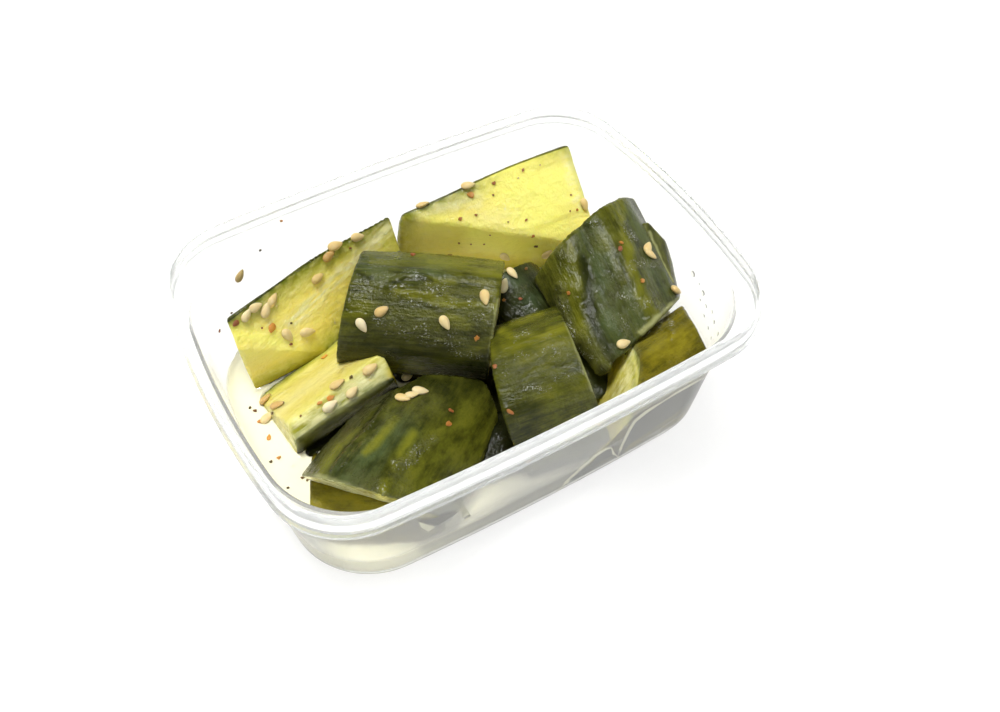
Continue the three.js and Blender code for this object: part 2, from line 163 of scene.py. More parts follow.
FLAKE_SPOTS = [
    (272, 328, 85, 2.2, 0.0), (236, 323, 10, 1.6, 0.45), (494, 183, 30, 1.1, 0.35),
    (460, 219, 60, 1.2, 0.3), (471, 195, 0, 1.9, 0.1), (533, 236, 40, 1.1, 0.3),
    (536, 246, -20, 1.1, 0.75), (477, 338, 80, 1.5, 0.2), (451, 411, -40, 1.3, 0.4),
    (449, 424, 10, 1.5, 0.25), (330, 398, 20, 1.9, 0.0), (320, 403, 10, 1.3, 0.1),
    (510, 412, -30, 1.6, 0.3), (495, 367, -20, 1.2, 0.4), (621, 243, 0, 1.2, 0.2),
    (620, 249, 80, 1.5, 0.5), (642, 281, 20, 1.3, 0.15), (569, 293, 60, 1.2, 0.2),
    (520, 299, 0, 1.0, 0.5), (413, 255, 0, 1.3, 0.5), (450, 255, -10, 1.4, 0.4),
    (325, 357, 30, 1.7, 0.0), (291, 344, 20, 1.0, 0.55), (291, 323, 0, 0.7, 0.8),
    (262, 328, 0, 0.6, 0.5), (350, 248, 0, 0.8, 0.6), (260, 250, 0, 0.8, 1.0),
    (281, 221, 20, 0.9, 0.05), (231, 313, 10, 0.8, 0.7), (219, 331, 80, 1.0, 0.5),
    (250, 408, 60, 0.8, 0.9), (255, 411, 0, 0.9, 0.7), (260, 422, -30, 1.3, 0.1),
    (269, 438, 90, 1.8, 0.05), (279, 458, 20, 1.0, 0.1), (271, 462, 50, 0.9, 0.8),
    (288, 488, 20, 0.7, 0.9), (303, 478, 10, 1.0, 0.8), (308, 480, 40, 0.8, 0.7),
    (351, 377, 35, 1.0, 0.8), (301, 416, 35, 0.6, 0.7), (273, 413, 30, 0.8, 0.8),
    (518, 178, 20, 0.5, 0.55), (523, 170, 30, 0.9, 0.3), (540, 165, 0, 0.4, 0.5),
    (476, 215, 10, 0.9, 0.6), (508, 222, 10, 0.6, 0.6), (526, 220, 60, 0.8, 0.4),
    (459, 243, 0, 0.6, 0.6), (471, 244, 0, 0.5, 0.55), (484, 244, 40, 0.5, 0.5),
    (490, 235, 0, 0.4, 0.55), (493, 195, 0, 0.6, 0.6), (570, 211, 50, 0.6, 0.5),
    (577, 210, 80, 0.8, 0.3), (571, 195, 0, 0.6, 0.4), (626, 354, 80, 0.5, 0.9),
    (504, 300, 0, 0.9, 0.2), (526, 269, 60, 1.0, 0.7),
]
# A droplet: its place and its width in mm.
DROPLET_SPOTS = [
    (693, 274, 1.6), (703, 293, 1.3), (700, 300, 0.7), (706, 306, 0.9), (712, 312, 0.8),
    (704, 316, 0.7), (714, 322, 0.9), (708, 328, 0.8), (718, 334, 1.0), (711, 338, 0.7),
    (699, 284, 0.6), (341, 371, 2.0), (346, 366, 1.2), (467, 517, 1.7), (334, 320, 1.4),
    (336, 325, 0.9), (397, 258, 1.6), (399, 252, 1.0), (562, 252, 1.0), (293, 466, 0.9),
    (388, 352, 1.2), (392, 356, 0.9), (271, 305, 1.1),
]
# Where something wet touches the front wall from inside, by its corners, and bright lines of brine there,
# by their width and their course.
# The dark films paint the wet skin behind the wall, in its shade.
DARK_FILMS = [
    [(558, 487), (570, 478), (582, 470), (594, 459), (604, 450), (611, 448), (613, 455), (618, 456),
     (623, 444), (629, 432), (637, 421), (648, 412), (660, 403), (672, 396), (684, 389), (694, 383),
     (703, 377), (701, 386), (696, 396), (688, 403), (677, 411), (663, 421), (647, 432), (631, 442),
     (615, 452), (600, 462), (584, 472), (569, 481)],
    [(418, 521), (430, 518), (446, 514), (459, 510), (448, 518), (437, 525), (429, 523)],
]
PALE_FILMS = [[(418, 521), (427, 524), (435, 526), (428, 531), (421, 527)]]
PALE_LINES = [
    (2.2, [(553, 493), (565, 482), (580, 468), (595, 455), (606, 448), (611, 447)]),
    (2.6, [(611, 447), (613, 453), (617, 455), (622, 444), (628, 431), (634, 421), (646, 411),
        (662, 401)]),
    (1.8, [(662, 401), (678, 391), (694, 382), (706, 375)]),
]
# Marks on the chunks: what it is, its half width, its strength, and the line that it follows.
# Dark marks are painted shade: in creases and grooves, on undersides, and where chunks meet or border
# gaps.
# Glint marks, and ridges at half strength, paint white glints.
# One kind of mark greys the skin: that grey is a painted sheen, and the same mark roughens the skin a
# little.
MARKS = {
    "chunk_centre": [
        ("light", 12, 0.7, [(395, 249), (440, 255), (500, 266)]),
        ("light", 7, 0.8, [(430, 261), (465, 267), (503, 276)]),
        ("light", 4, 0.6, [(372, 262), (420, 265), (460, 273)]),
        ("light", 6, 0.9, [(398, 293), (430, 298), (455, 303), (480, 307), (498, 306)]),
        ("light", 5, 0.9, [(430, 282), (452, 283)]),
        ("light", 6, 0.8, [(448, 319), (468, 324)]),
        ("light", 10, 0.5, [(341, 330), (350, 318), (365, 302)]),
        ("light", 5, 0.5, [(340, 366), (380, 364), (420, 366)]),
        ("light", 8, 0.4, [(440, 355), (480, 350), (492, 340)]),
        ("light", 9, 0.4, [(480, 280), (498, 300)]),
        ("teal", 14, 0.6, [(365, 270), (400, 272), (440, 272)]),
        ("teal", 12, 0.5, [(450, 372), (490, 368)]),
        ("dark", 14, 0.6, [(345, 348), (420, 352), (445, 354)]),
        ("dark", 10, 0.8, [(440, 368), (490, 370)]),
        ("dark", 2.5, 0.8, [(395, 283), (405, 279.5), (420, 279), (432, 282)]),
        ("dark", 2.2, 0.8, [(357, 274), (370, 278)]),
        ("dark", 2.5, 0.5, [(400, 299), (425, 303), (440, 312)]),
        ("sheen", 18, 0.6, [(385, 315), (430, 320), (470, 324), (485, 326)]),
        ("sheen", 9, 1.0, [(395, 327), (430, 334), (445, 338), (462, 341)]),
        ("sheen", 6, 1.0, [(422, 288), (450, 291), (478, 296)]),
        ("sheen", 5, 0.8, [(470, 316), (490, 319), (492, 340)]),
        ("sheen", 8, 0.5, [(375, 270), (388, 260), (402, 257)]),
        ("sheen", 6, 0.6, [(380, 296), (395, 299)]),
        ("sheen", 5, 0.7, [(385, 352), (393, 350), (394, 357)]),
        ("sheen", 5, 0.7, [(458, 352), (478, 354)]),
        ("swell", 7, 0.5, [(392, 289), (430, 291), (470, 297)]),
        ("swell", 7, 0.5, [(385, 322), (430, 326), (480, 327)]),
        ("ridge", 2.4, 0.6, [(392, 280), (400, 278), (406, 275), (415, 275), (424, 278), (430, 281)]),
        ("ridge", 2.2, 0.5, [(389, 289), (396, 286), (406, 287), (420, 285), (432, 284)]),
        ("ridge", 2.2, 0.5, [(390, 292), (400, 294), (415, 293), (425, 296), (432, 296)]),
        ("ridge", 2.2, 0.6, [(430, 285), (436, 284), (445, 287), (452, 292)]),
        ("ridge", 2.2, 0.5, [(440, 293), (450, 300), (462, 304), (472, 303)]),
        ("ridge", 2.0, 0.3, [(412, 300), (430, 304), (440, 312)]),
        ("ridge", 2.0, 0.3, [(398, 336), (425, 338), (445, 341)]),
        ("glint", 4, 1.0, [(402, 275), (412, 274), (424, 277)]),
        ("glint", 6, 1.0, [(420, 290), (434, 287), (446, 290)]),
        ("glint", 6, 0.8, [(438, 296), (456, 302), (470, 303)]),
        ("glint", 6, 0.8, [(390, 289), (406, 291)]),
        ("glint", 6, 0.8, [(412, 303), (432, 306)]),
        ("glint", 10, 0.8, [(395, 328), (430, 333), (452, 340)]),
        ("glint", 6, 0.6, [(380, 320), (374, 310)]),
        ("glint", 5, 0.7, [(460, 352), (478, 355)]),
        ("glint", 5, 0.7, [(468, 317), (484, 316), (492, 330)]),
        ("glint", 3, 0.8, [(420, 373), (440, 373), (462, 376)]),
        ("pale", 1.8, 0.6, [(498, 300), (495, 320), (491, 345), (489, 366)]),
    ],
    "chunk_right_back": [
        ("light", 5, 1.0, [
            (617, 200), (619, 215), (621, 230), (627, 245), (628, 258), (631, 272), (636, 286),
            (640, 298), (648, 310), (655, 316)]),
        ("light", 14, 0.5, [(612, 205), (609, 225), (606, 240)]),
        ("light", 7, 0.6, [(567, 238), (569, 260), (574, 285), (580, 310), (584, 335)]),
        ("light", 8, 0.6, [(540, 268), (555, 248), (570, 228), (582, 215)]),
        ("teal", 18, 0.9, [(592, 235), (598, 260), (602, 290), (608, 325), (618, 338)]),
        ("teal", 16, 0.6, [(630, 212), (642, 240), (655, 270), (668, 290)]),
        ("teal", 10, 0.6, [(628, 295), (640, 322)]),
        ("sheen", 8, 0.6, [(612, 283), (611, 305), (613, 327)]),
        ("sheen", 6, 1.0, [(563, 300), (568, 315), (573, 334)]),
        ("sheen", 11, 0.7, [(582, 336), (594, 350), (604, 364)]),
        ("sheen", 6, 1.0, [(620, 320), (628, 336)]),
        ("sheen", 5, 0.9, [(624, 297), (632, 305), (638, 314)]),
        ("sheen", 4, 0.9, [(622, 225), (627, 234), (633, 241)]),
        ("sheen", 5, 1.0, [(632, 267), (645, 265), (656, 264)]),
        ("sheen", 6, 0.7, [(650, 300), (657, 307)]),
        ("sheen", 5, 0.7, [(560, 248), (562, 256)]),
        ("sheen", 4, 0.9, [(562, 285), (563, 291)]),
        ("sheen", 7, 0.5, [(590, 232), (600, 250), (598, 264)]),
        ("dark", 6, 0.8, [
            (584, 262), (588, 280), (590, 300), (592, 318), (598, 332), (607, 346), (613, 360)]),
        ("dark", 9, 0.9, [(581, 345), (587, 366), (594, 388)]),
        ("dark", 7, 0.6, [(540, 290), (550, 308)]),
        ("dark", 5, 0.6, [(604, 366), (599, 382)]),
        ("pale", 2.4, 0.9, [(640, 333), (650, 324), (662, 313), (682, 296)]),
        ("glint", 4, 1.0, [(588, 223), (597, 224)]),
        ("glint", 6, 1.0, [(562, 288), (566, 310), (574, 334)]),
        ("glint", 8, 0.8, [(584, 345), (600, 354)]),
        ("glint", 7, 1.0, [(618, 320), (628, 335)]),
        ("glint", 5, 0.9, [(624, 297), (638, 313)]),
        ("glint", 5, 1.0, [(632, 267), (655, 264)]),
        ("glint", 4, 0.8, [(622, 226), (632, 240)]),
        ("glint", 5, 0.7, [(648, 304), (656, 312)]),
        ("groove", 8, 1.0, [(586, 262), (589, 280), (590, 300), (592, 318), (599, 332), (609, 346),
            (615, 360)]),
        ("swell", 10, 0.9, [(566, 290), (574, 318), (583, 338), (596, 352), (604, 368)]),
        ("swell", 12, 0.9, [(606, 270), (611, 300), (618, 330)]),
        ("swell", 9, 0.6, [(632, 250), (640, 285), (646, 305)]),
        ("swell", 8, 0.6, [(574, 235), (578, 262)]),
        ("ridge", 2.4, 0.4, [(588, 328), (596, 337), (604, 348), (608, 360), (603, 372)]),
        ("ridge", 2.2, 0.5, [(587, 224), (592, 222.5), (597, 224)]),
        ("ridge", 2.2, 0.4, [(562, 298), (567, 312), (574, 334)]),
    ],
    "chunk_right_front": [
        ("light", 5, 1.0, [(502, 332), (520, 338), (545, 335), (563, 328)]),
        ("light", 12, 0.6, [(497, 348), (515, 347), (540, 344), (565, 338)]),
        ("light", 12, 0.4, [(545, 392), (565, 388), (587, 390)]),
        ("light", 10, 0.4, [(525, 362), (560, 350)]),
        ("light", 5, 0.7, [(512, 322), (540, 314)]),
        ("dark", 3, 0.5, [(520, 370), (530, 366), (545, 360)]),
        ("dark", 10, 0.5, [(508, 422), (515, 436), (535, 432)]),
        ("dark", 9, 0.4, [(500, 405), (520, 408), (535, 412)]),
        ("dark", 5, 0.5, [(493, 336), (498, 350)]),
        ("sheen", 14, 0.35, [(500, 358), (512, 374), (522, 388)]),
        ("sheen", 8, 0.45, [(530, 357), (550, 358), (574, 350)]),
        ("sheen", 6, 0.9, [(505, 370), (503, 382)]),
        ("sheen", 5, 0.9, [(525, 388), (533, 385), (545, 387)]),
        ("sheen", 6, 0.7, [(545, 375), (572, 377)]),
        ("sheen", 5, 0.8, [(517, 335), (530, 332)]),
        ("sheen", 5, 0.8, [(517, 358), (522, 356)]),
        ("ridge", 2.0, 0.4, [(515, 343), (530, 340), (552, 335)]),
        ("ridge", 2.0, 0.3, [(520, 373), (540, 363), (560, 360)]),
        ("ridge", 2.0, 0.4, [(525, 391), (530, 392), (534, 387)]),
        ("glint", 5, 0.9, [(503, 368), (504, 380)]),
        ("glint", 5, 0.9, [(518, 357), (524, 355)]),
        ("glint", 6, 0.9, [(526, 389), (545, 386)]),
        ("glint", 7, 0.6, [(545, 354), (572, 348)]),
        ("glint", 6, 0.5, [(550, 376), (570, 378)]),
        ("glint", 4, 0.6, [(518, 335), (528, 332)]),
        ("pale", 2.0, 0.6, [(565, 320), (573, 340), (583, 365), (592, 390)]),
    ],
    "wedge_right_corner": [
        ("pale", 10, 0.6, [(628, 352), (630, 370), (625, 392)]),
        ("light", 2.5, 0.5, [(629, 346), (634, 358), (637, 370), (638, 384)]),
        ("dark", 9, 0.5, [(600, 390), (611, 372), (618, 355)]),
        ("light", 14, 0.6, [(655, 350), (690, 332)]),
        ("sheen", 4, 1.0, [(648, 331), (660, 326), (670, 324)]),
        ("sheen", 10, 0.5, [(640, 348), (655, 340)]),
        ("glint", 5, 1.0, [(648, 331), (660, 327), (670, 323)]),
        ("ridge", 2.4, 0.6, [(646, 331), (655, 329), (664, 325), (671, 323)]),
        ("ridge", 2.2, 0.5, [(667, 329), (672, 333), (672, 338)]),
    ],
    "chunk_front": [
        ("light", 5, 1.0, [(366, 453), (376, 444), (386, 432), (395, 420)]),
        ("light", 6, 1.0, [(382, 497), (387, 478), (393, 464), (404, 448), (412, 436)]),
        ("light", 8, 0.7, [(397, 460), (404, 452)]),
        ("light", 7, 0.7, [(319, 474), (326, 460), (336, 448)]),
        ("light", 30, 0.4, [(420, 480), (445, 455), (470, 430)]),
        ("dark", 9, 1.0, [(312, 468), (322, 450), (338, 430), (362, 411), (388, 395)]),
        ("dark", 2.4, 0.9, [(331, 470), (343, 452), (358, 436), (372, 420), (382, 408)]),
        ("dark", 14, 0.5, [(400, 384), (430, 380), (472, 386)]),
        ("teal", 20, 0.8, [(345, 472), (370, 462), (385, 448), (400, 432)]),
        ("sheen", 5, 1.0, [(397, 463), (405, 463), (412, 458), (415, 452), (425, 443), (434, 440)]),
        ("sheen", 12, 0.5, [(398, 478), (404, 496)]),
        ("sheen", 11, 0.5, [(355, 478), (375, 486)]),
        ("sheen", 16, 0.4, [(396, 422), (432, 402)]),
        ("swell", 10, 0.6, [(384, 490), (392, 470), (402, 450), (412, 434)]),
        ("swell", 8, 0.5, [(360, 458), (378, 442), (392, 424)]),
        ("ridge", 2.6, 0.7, [(395, 463), (405, 465), (414, 459), (418, 450), (427, 443)]),
        ("ridge", 2.0, 0.4, [(332, 473), (344, 455), (359, 439), (373, 423), (384, 410)]),
        ("ridge", 2.0, 0.3, [(340, 472), (352, 456), (366, 441)]),
        ("groove", 4, 0.4, [(390, 470), (400, 448), (408, 436)]),
        ("glint", 6, 1.0, [(398, 464), (408, 463), (415, 454), (428, 443)]),
        ("glint", 6, 0.5, [(372, 484), (380, 488)]),
        ("pale", 5, 1.0, [(306, 476), (325, 481), (345, 488), (365, 495), (390, 503)]),
    ],
    "chunk_front_low": [
        ("light", 16, 1.0, [(316, 500), (340, 497), (378, 508)]),
    ],
    "chunk_low_middle": [
        ("teal", 14, 0.8, [(512, 285), (528, 300)]),
        ("sheen", 8, 0.5, [(508, 296), (524, 290)]),
        ("dark", 8, 1.0, [(503, 290), (500, 325), (520, 318)]),
    ],
    "wedge_front_left": [
        ("pale", 12, 0.8, [(266, 424), (282, 440), (293, 453)]),
        ("pale", 12, 0.7, [(300, 425), (330, 407), (352, 393), (378, 371)]),
        ("dark", 9, 1.0, [(300, 455), (335, 437), (366, 416), (393, 396)]),
        ("dark", 8, 0.9, [(394, 372), (396, 388)]),
    ],
    "wedge_back_left": [
        ("pale", 7, 0.8, [(290, 322), (312, 303), (330, 285), (350, 264), (370, 246), (387, 228)]),
        ("light", 11, 0.9, [(236, 334), (255, 336), (278, 340)]),
        ("light", 9, 0.5, [(245, 353), (268, 352), (292, 346)]),
        ("dark", 8, 0.8, [(256, 390), (276, 384), (300, 368), (322, 354)]),
        ("glint", 6, 0.6, [(316, 300), (328, 290)]),
        ("glint", 5, 0.7, [(331, 318), (339, 327)]),
        ("ridge", 2.4, 0.3, [(322, 300), (328, 292), (334, 296)]),
        ("ridge", 2.4, 0.3, [(332, 318), (338, 320), (339, 326)]),
    ],
    "wedge_back": [
        # The two light marks on this wedge are painted light: a brighter upper right on the top face, and
        # a brighter lower face.
        ("light", 42, 1.0, [(520, 185), (548, 188), (540, 212)]),
        ("dark", 14, 0.55, [(404, 247), (430, 244), (455, 242)]),
        ("dark", 6, 0.5, [(440, 256), (480, 258), (522, 264), (545, 263)]),
        ("teal", 5, 0.7, [(569, 150), (576, 170), (584, 196)]),
        ("pale", 5, 0.7, [(566, 158), (571, 180), (578, 204)]),
        ("pale", 9, 0.4, [(420, 214), (450, 204), (478, 200)]),
        ("light", 16, 0.9, [(430, 229), (470, 233), (520, 243), (548, 249)]),
        ("glint", 8, 1.0, [(557, 162), (562, 168)]),
        ("glint", 5, 0.6, [(500, 206), (516, 210)]),
        ("glint", 5, 0.7, [(504, 225), (528, 230), (540, 238)]),
        ("ridge", 3, 0.25, [(494, 221), (508, 226), (522, 228), (535, 236)]),
        ("ridge", 2.5, 0.25, [(500, 205), (512, 208), (520, 207)]),
    ],
    "chunk_right_behind": [
        ("pale", 1.3, 0.7, [(650, 232), (658, 252), (665, 268), (672, 282)]),
    ],
    # On the brine, dark marks are painted shade: in the gaps between chunks and along the front wall.
    "brine": [
        ("dark", 7, 1.0, [(499, 303), (499, 325), (494, 345)]),
        ("dark", 9, 1.0, [(492, 375), (498, 400), (502, 425), (510, 452)]),
        ("dark", 20, 0.3, [(425, 540), (470, 520), (520, 497), (580, 470), (640, 440)]),
        ("dark", 6, 1.0, [(312, 452), (330, 434), (365, 410), (396, 393)]),
        ("dark", 8, 1.0, [(400, 375), (450, 374), (492, 378)]),
    ],
}

# What the chunks are coloured with: dark, light and striped skin, then flesh and the core's flesh. The
# number is how streaky the skin is.
GREEN = ((0.02, 0.024, 0.003), (0.095, 0.1, 0.012), (0.165, 0.17, 0.012))
OLIVE = ((0.025, 0.03, 0.002), (0.08, 0.086, 0.005), (0.18, 0.18, 0.011))
BROWN = ((0.065, 0.056, 0.003), (0.18, 0.15, 0.009), (0.27, 0.23, 0.014))
# The next two are painted shade: skins darkened for chunks that lie low, in shade between the others.
DEEP_SHADED_SKIN = ((0.012, 0.016, 0.003), (0.04, 0.046, 0.01), (0.08, 0.09, 0.012))
BLACK_SHADED_SKIN = ((0.003, 0.004, 0.001), (0.015, 0.017, 0.006), (0.03, 0.03, 0.008))
YELLOW_FLESH = ((0.86, 0.75, 0.17), (0.88, 0.8, 0.29))
PALE_GREEN_FLESH = ((0.58, 0.5, 0.12), (0.68, 0.62, 0.23))
DULL_FLESH = ((0.34, 0.31, 0.06), (0.42, 0.38, 0.1))
COLOURS = {
    "chunk_centre": (0.6, *GREEN, *DULL_FLESH),
    "wedge_right_corner": (0.25, *BROWN, *DULL_FLESH),
    "chunk_right_back": (0.35, *GREEN, *DULL_FLESH),
    "chunk_right_front": (0.45, *OLIVE, *DULL_FLESH),
    "wedge_back_left": (0.5, *GREEN, *YELLOW_FLESH),
    "wedge_front_left": (0.3, *GREEN, *PALE_GREEN_FLESH),
    "chunk_front": (0.2, *GREEN, *DULL_FLESH),
    "wedge_back": (0.5, *GREEN, *YELLOW_FLESH),
    "chunk_right_behind": (0.5, *GREEN, *DULL_FLESH),
    "chunk_front_low": (0.3, *BROWN, *DULL_FLESH),
    # The two low chunks take skins painted dark for the shade they lie in.
    "chunk_low_middle": (0.3, *DEEP_SHADED_SKIN, *DULL_FLESH),
    "chunk_low_front": (0.3, *BLACK_SHADED_SKIN, *DULL_FLESH),
}
TEAL_SKIN = (0.05, 0.08, 0.038)
# A painted sheen: the grey that the skin takes on where it shines.
PAINTED_SHEEN_SKIN = (0.14, 0.145, 0.06)
# For dark pores, and for the painted shade of the dark marks.
DARKEST_SKIN_AND_SHADE = (0.01, 0.012, 0.002)
CUT_EDGE = (0.32, 0.33, 0.13)
# Painted glints: white specks on the glint marks and ridges.
PAINTED_GLINT = (0.8, 0.82, 0.75)
LEMON_FLESH = (0.95, 0.9, 0.22)
PALE_FLESH = (0.86, 0.84, 0.48)
GREEN_FLESH = (0.42, 0.46, 0.2)
# Painted shade on cut flesh, under the dark marks.
SHADED_OLIVE_FLESH = (0.58, 0.47, 0.03)
GREEN_RING = [
    (0.0, (0.02, 0.035, 0.003)), (0.02, (0.09, 0.12, 0.008)), (0.07, (0.3, 0.31, 0.03)),
    (0.16, (0.6, 0.56, 0.11))]
# The brine's colours paint light and shade: a lit top, a lower part that is lit at the left corner and
# shaded on from there, and dark shade.
BRINE_LIT_ABOVE = ((0.82, 0.8, 0.58), (0.88, 0.86, 0.66))
BRINE_LIT_AND_SHADED_BEHIND_THE_WALL = ((0.9, 0.88, 0.66), (0.42, 0.415, 0.32))  # at the left corner, and on from there
BRINE_PAINTED_SHADE = (0.008, 0.009, 0.002)
# The first film paints wet skin seen through the wall, in its shade.
WET_SKIN_IN_SHADE_FILM = ((0.022, 0.024, 0.007), (0.055, 0.055, 0.02))
BRINE_FILM = ((0.55, 0.55, 0.38), (0.78, 0.77, 0.6))
DROPLET = ((0.97, 0.97, 0.93), (1.0, 1.0, 0.98))
WALL_PLASTIC = ((0.9, 0.9, 0.86), (0.94, 0.94, 0.9))
RIM_PLASTIC = ((0.95, 0.96, 0.96), (0.98, 0.99, 0.98))
# A faint painted glow on the rim, which is no lamp.
RIM_GLOW = (0.95, 1.0, 1.0)
SESAME_SHELL = [(0.0, (0.82, 0.76, 0.52)), (0.45, (0.66, 0.5, 0.21)), (1.0, (0.42, 0.22, 0.05))]
SESAME_TIP = (0.08, 0.035, 0.01)
CHILLI = [
    (0.0, (0.72, 0.33, 0.05)), (0.25, (0.38, 0.16, 0.03)), (0.5, (0.26, 0.08, 0.03)),
    (0.75, (0.11, 0.075, 0.015)), (1.0, (0.04, 0.03, 0.015))]
TABLE = ((0.41, 0.41, 0.41), (0.43, 0.43, 0.43))

# How far light travels inside, in metres, as red, green and blue.
IN_FLESH = (0.0026, 0.0022, 0.0008)
IN_BRINE = (0.003, 0.0026, 0.002)
IN_SESAME = (0.0008, 0.0005, 0.0002)
IN_CHILLI = (0.0008, 0.0004, 0.0002)

# A lamp: where it stands, its size in metres, its power and colour, and whether it only makes glints.
LAMPS = [
    ("ceiling_softbox", 200, 76, 1.1, 0.35, 13.5, (1, 0.98, 0.95), False),
    ("front_softbox", 10, 45, 1.3, 0.7, 3, (1, 1, 1), False),
    ("ceiling_bulb", 200, 86, 1.1, 0.14, 4.5, (1, 1, 1), True),
    ("front_bulb", 19, 40, 1.3, 0.12, 3, (1, 1, 1), True),
]
WORLD = (1.0, 0.3, 0.18, 0.03)  # looked at or through, as light, mirrored at the horizon, and above
TABLE_GLOW = 0.74
TABLE_SIZE, TABLE_DROP = 6, 0.0001  # in metres; it lies that little under the tub
CLIP = (0.01, 20)


# ---------------------------------------------------------------- modelling tools
def alone(piece):
    """Selects one piece and nothing else."""
    bpy.ops.object.select_all(action="DESELECT")
    piece.select_set(True)
    bpy.context.view_layer.objects.active = piece


def finished(piece, kind, **settings):
    """Adds a modifier with its settings and applies it."""
    modifier = piece.modifiers.new(kind.lower(), kind)
    for name, value in settings.items():
        setattr(modifier, name, value)
    alone(piece)
    bpy.ops.object.modifier_apply(modifier=modifier.name)


def carved(piece, operation, other):
    finished(piece, "BOOLEAN", operation=operation, object=other, solver="MANIFOLD")


def smoothed(piece):
    alone(piece)
    bpy.ops.object.shade_smooth()
    return piece


def edited(piece, operator, **settings):
    """Runs one edit mode operator on the whole piece."""
    alone(piece)
    bpy.ops.object.mode_set(mode="EDIT")
    bpy.ops.mesh.select_all(action="SELECT")
    operator(**settings)
    bpy.ops.object.mode_set(mode="OBJECT")


def noted(piece, name, values):
    """A number at every point of a piece, for its material to read."""
    piece.data.attributes.new(name, "FLOAT", "POINT").data.foreach_set("value", values)


def loft(name, rings):
    """A closed skin over rings of equally many points: a cylinder, cut in as many rows and shaped."""
    count, rows = len(rings[0]), len(rings) - 1
    bpy.ops.mesh.primitive_cylinder_add(vertices=count, radius=1, depth=rows, location=(0, 0, 0))
    piece = bpy.context.active_object
    piece.name = name
    mesh = piece.data
    for part in (mesh.polygons, mesh.edges, mesh.vertices):
        part.foreach_set("select", [False] * len(part))
    for edge in mesh.edges:
        low, high = (mesh.vertices[i].co.z for i in edge.vertices)
        edge.select = abs(high - low) > 0.5
    bpy.ops.object.mode_set(mode="EDIT")
    bpy.ops.mesh.select_mode(type="EDGE")
    if rows > 1:
        bpy.ops.mesh.subdivide(number_cuts=rows - 1)
    bpy.ops.object.mode_set(mode="OBJECT")
    for vertex in mesh.vertices:
        x, y, z = vertex.co
        side = round(math.atan2(y, x) / math.tau * count) % count
        vertex.co = rings[round(z + rows / 2)][side]
    return piece


def in_metres(piece):
    piece.data.transform(Matrix.Scale(MM, 4))
    piece.data.update()


def remove(*pieces):
    for piece in pieces:
        bpy.data.objects.remove(piece)


def smooth_step(low, high, value):
    share = min(1, max(0, (value - low) / (high - low)))
    return share * share * (3 - 2 * share)


# ---------------------------------------------------------------- the photograph's lines of sight
def view_axes():
    """The picture's own right and up, and the direction back to the eye."""
    azimuth, elevation, roll = (math.radians(a) for a in (VIEW_AZIMUTH, VIEW_ELEVATION, VIEW_ROLL))
    back = Vector((
        math.sin(azimuth) * math.cos(elevation), -math.cos(azimuth) * math.cos(elevation),
        math.sin(elevation)))
    level_right = Vector((0, 0, 1)).cross(back).normalized()
    tilt = Matrix.Rotation(roll, 3, back)
    return tilt @ level_right, tilt @ back.cross(level_right), back


RIGHT, UP, BACK = view_axes()


def in_picture(point):
    """Where a point, in mm, stands in the photograph."""
    from_eye = point - Vector(VIEW_EYE)
    scale = -FOCAL_PIXELS / from_eye.dot(BACK)
    return PICTURE[0] / 2 + scale * from_eye.dot(RIGHT), PICTURE[1] / 2 - scale * from_eye.dot(UP)


def near_line(x, y, line, reach):
    """1 on a line of points in the picture, and softly down to 0 where the reach ends."""
    nearest = reach
    for (x0, y0), (x1, y1) in zip(line, line[1:]):
        across, down = x1 - x0, y1 - y0
        share = ((x - x0) * across + (y - y0) * down) / (across * across + down * down)
        share = min(1, max(0, share))
        nearest = min(nearest, math.hypot(x - x0 - share * across, y - y0 - share * down))
    return (1 - (nearest / reach) ** 2) ** 2


class Marks:
    """The marks on one piece, each looked up only near its line."""

    def __init__(self, node):
        self.marks = []
        for kind, width, strength, line in MARKS.get(node, ()):
            reach = width * MARK_SPREAD
            xs, ys = zip(*line)
            box = min(xs) - reach, max(xs) + reach, min(ys) - reach, max(ys) + reach
            self.marks.append((kind, reach, strength, line, box))

    def at(self, point):
        """How strong each kind of mark is at a point."""
        x, y = in_picture(point)
        x += MARK_WANDER * noise.noise(point * 0.5)
        y += MARK_WANDER * noise.noise(point * 0.5 + Vector((9, 0, 0)))
        found = dict(light=0, dark=0, sheen=0, teal=0, pale=0, ridge=0, swell=0, groove=0, glint=0)
        for kind, reach, strength, line, (left, right, top, bottom) in self.marks:
            if left < x < right and top < y < bottom:
                found[kind] = max(found[kind], strength * near_line(x, y, line, reach))
        return found


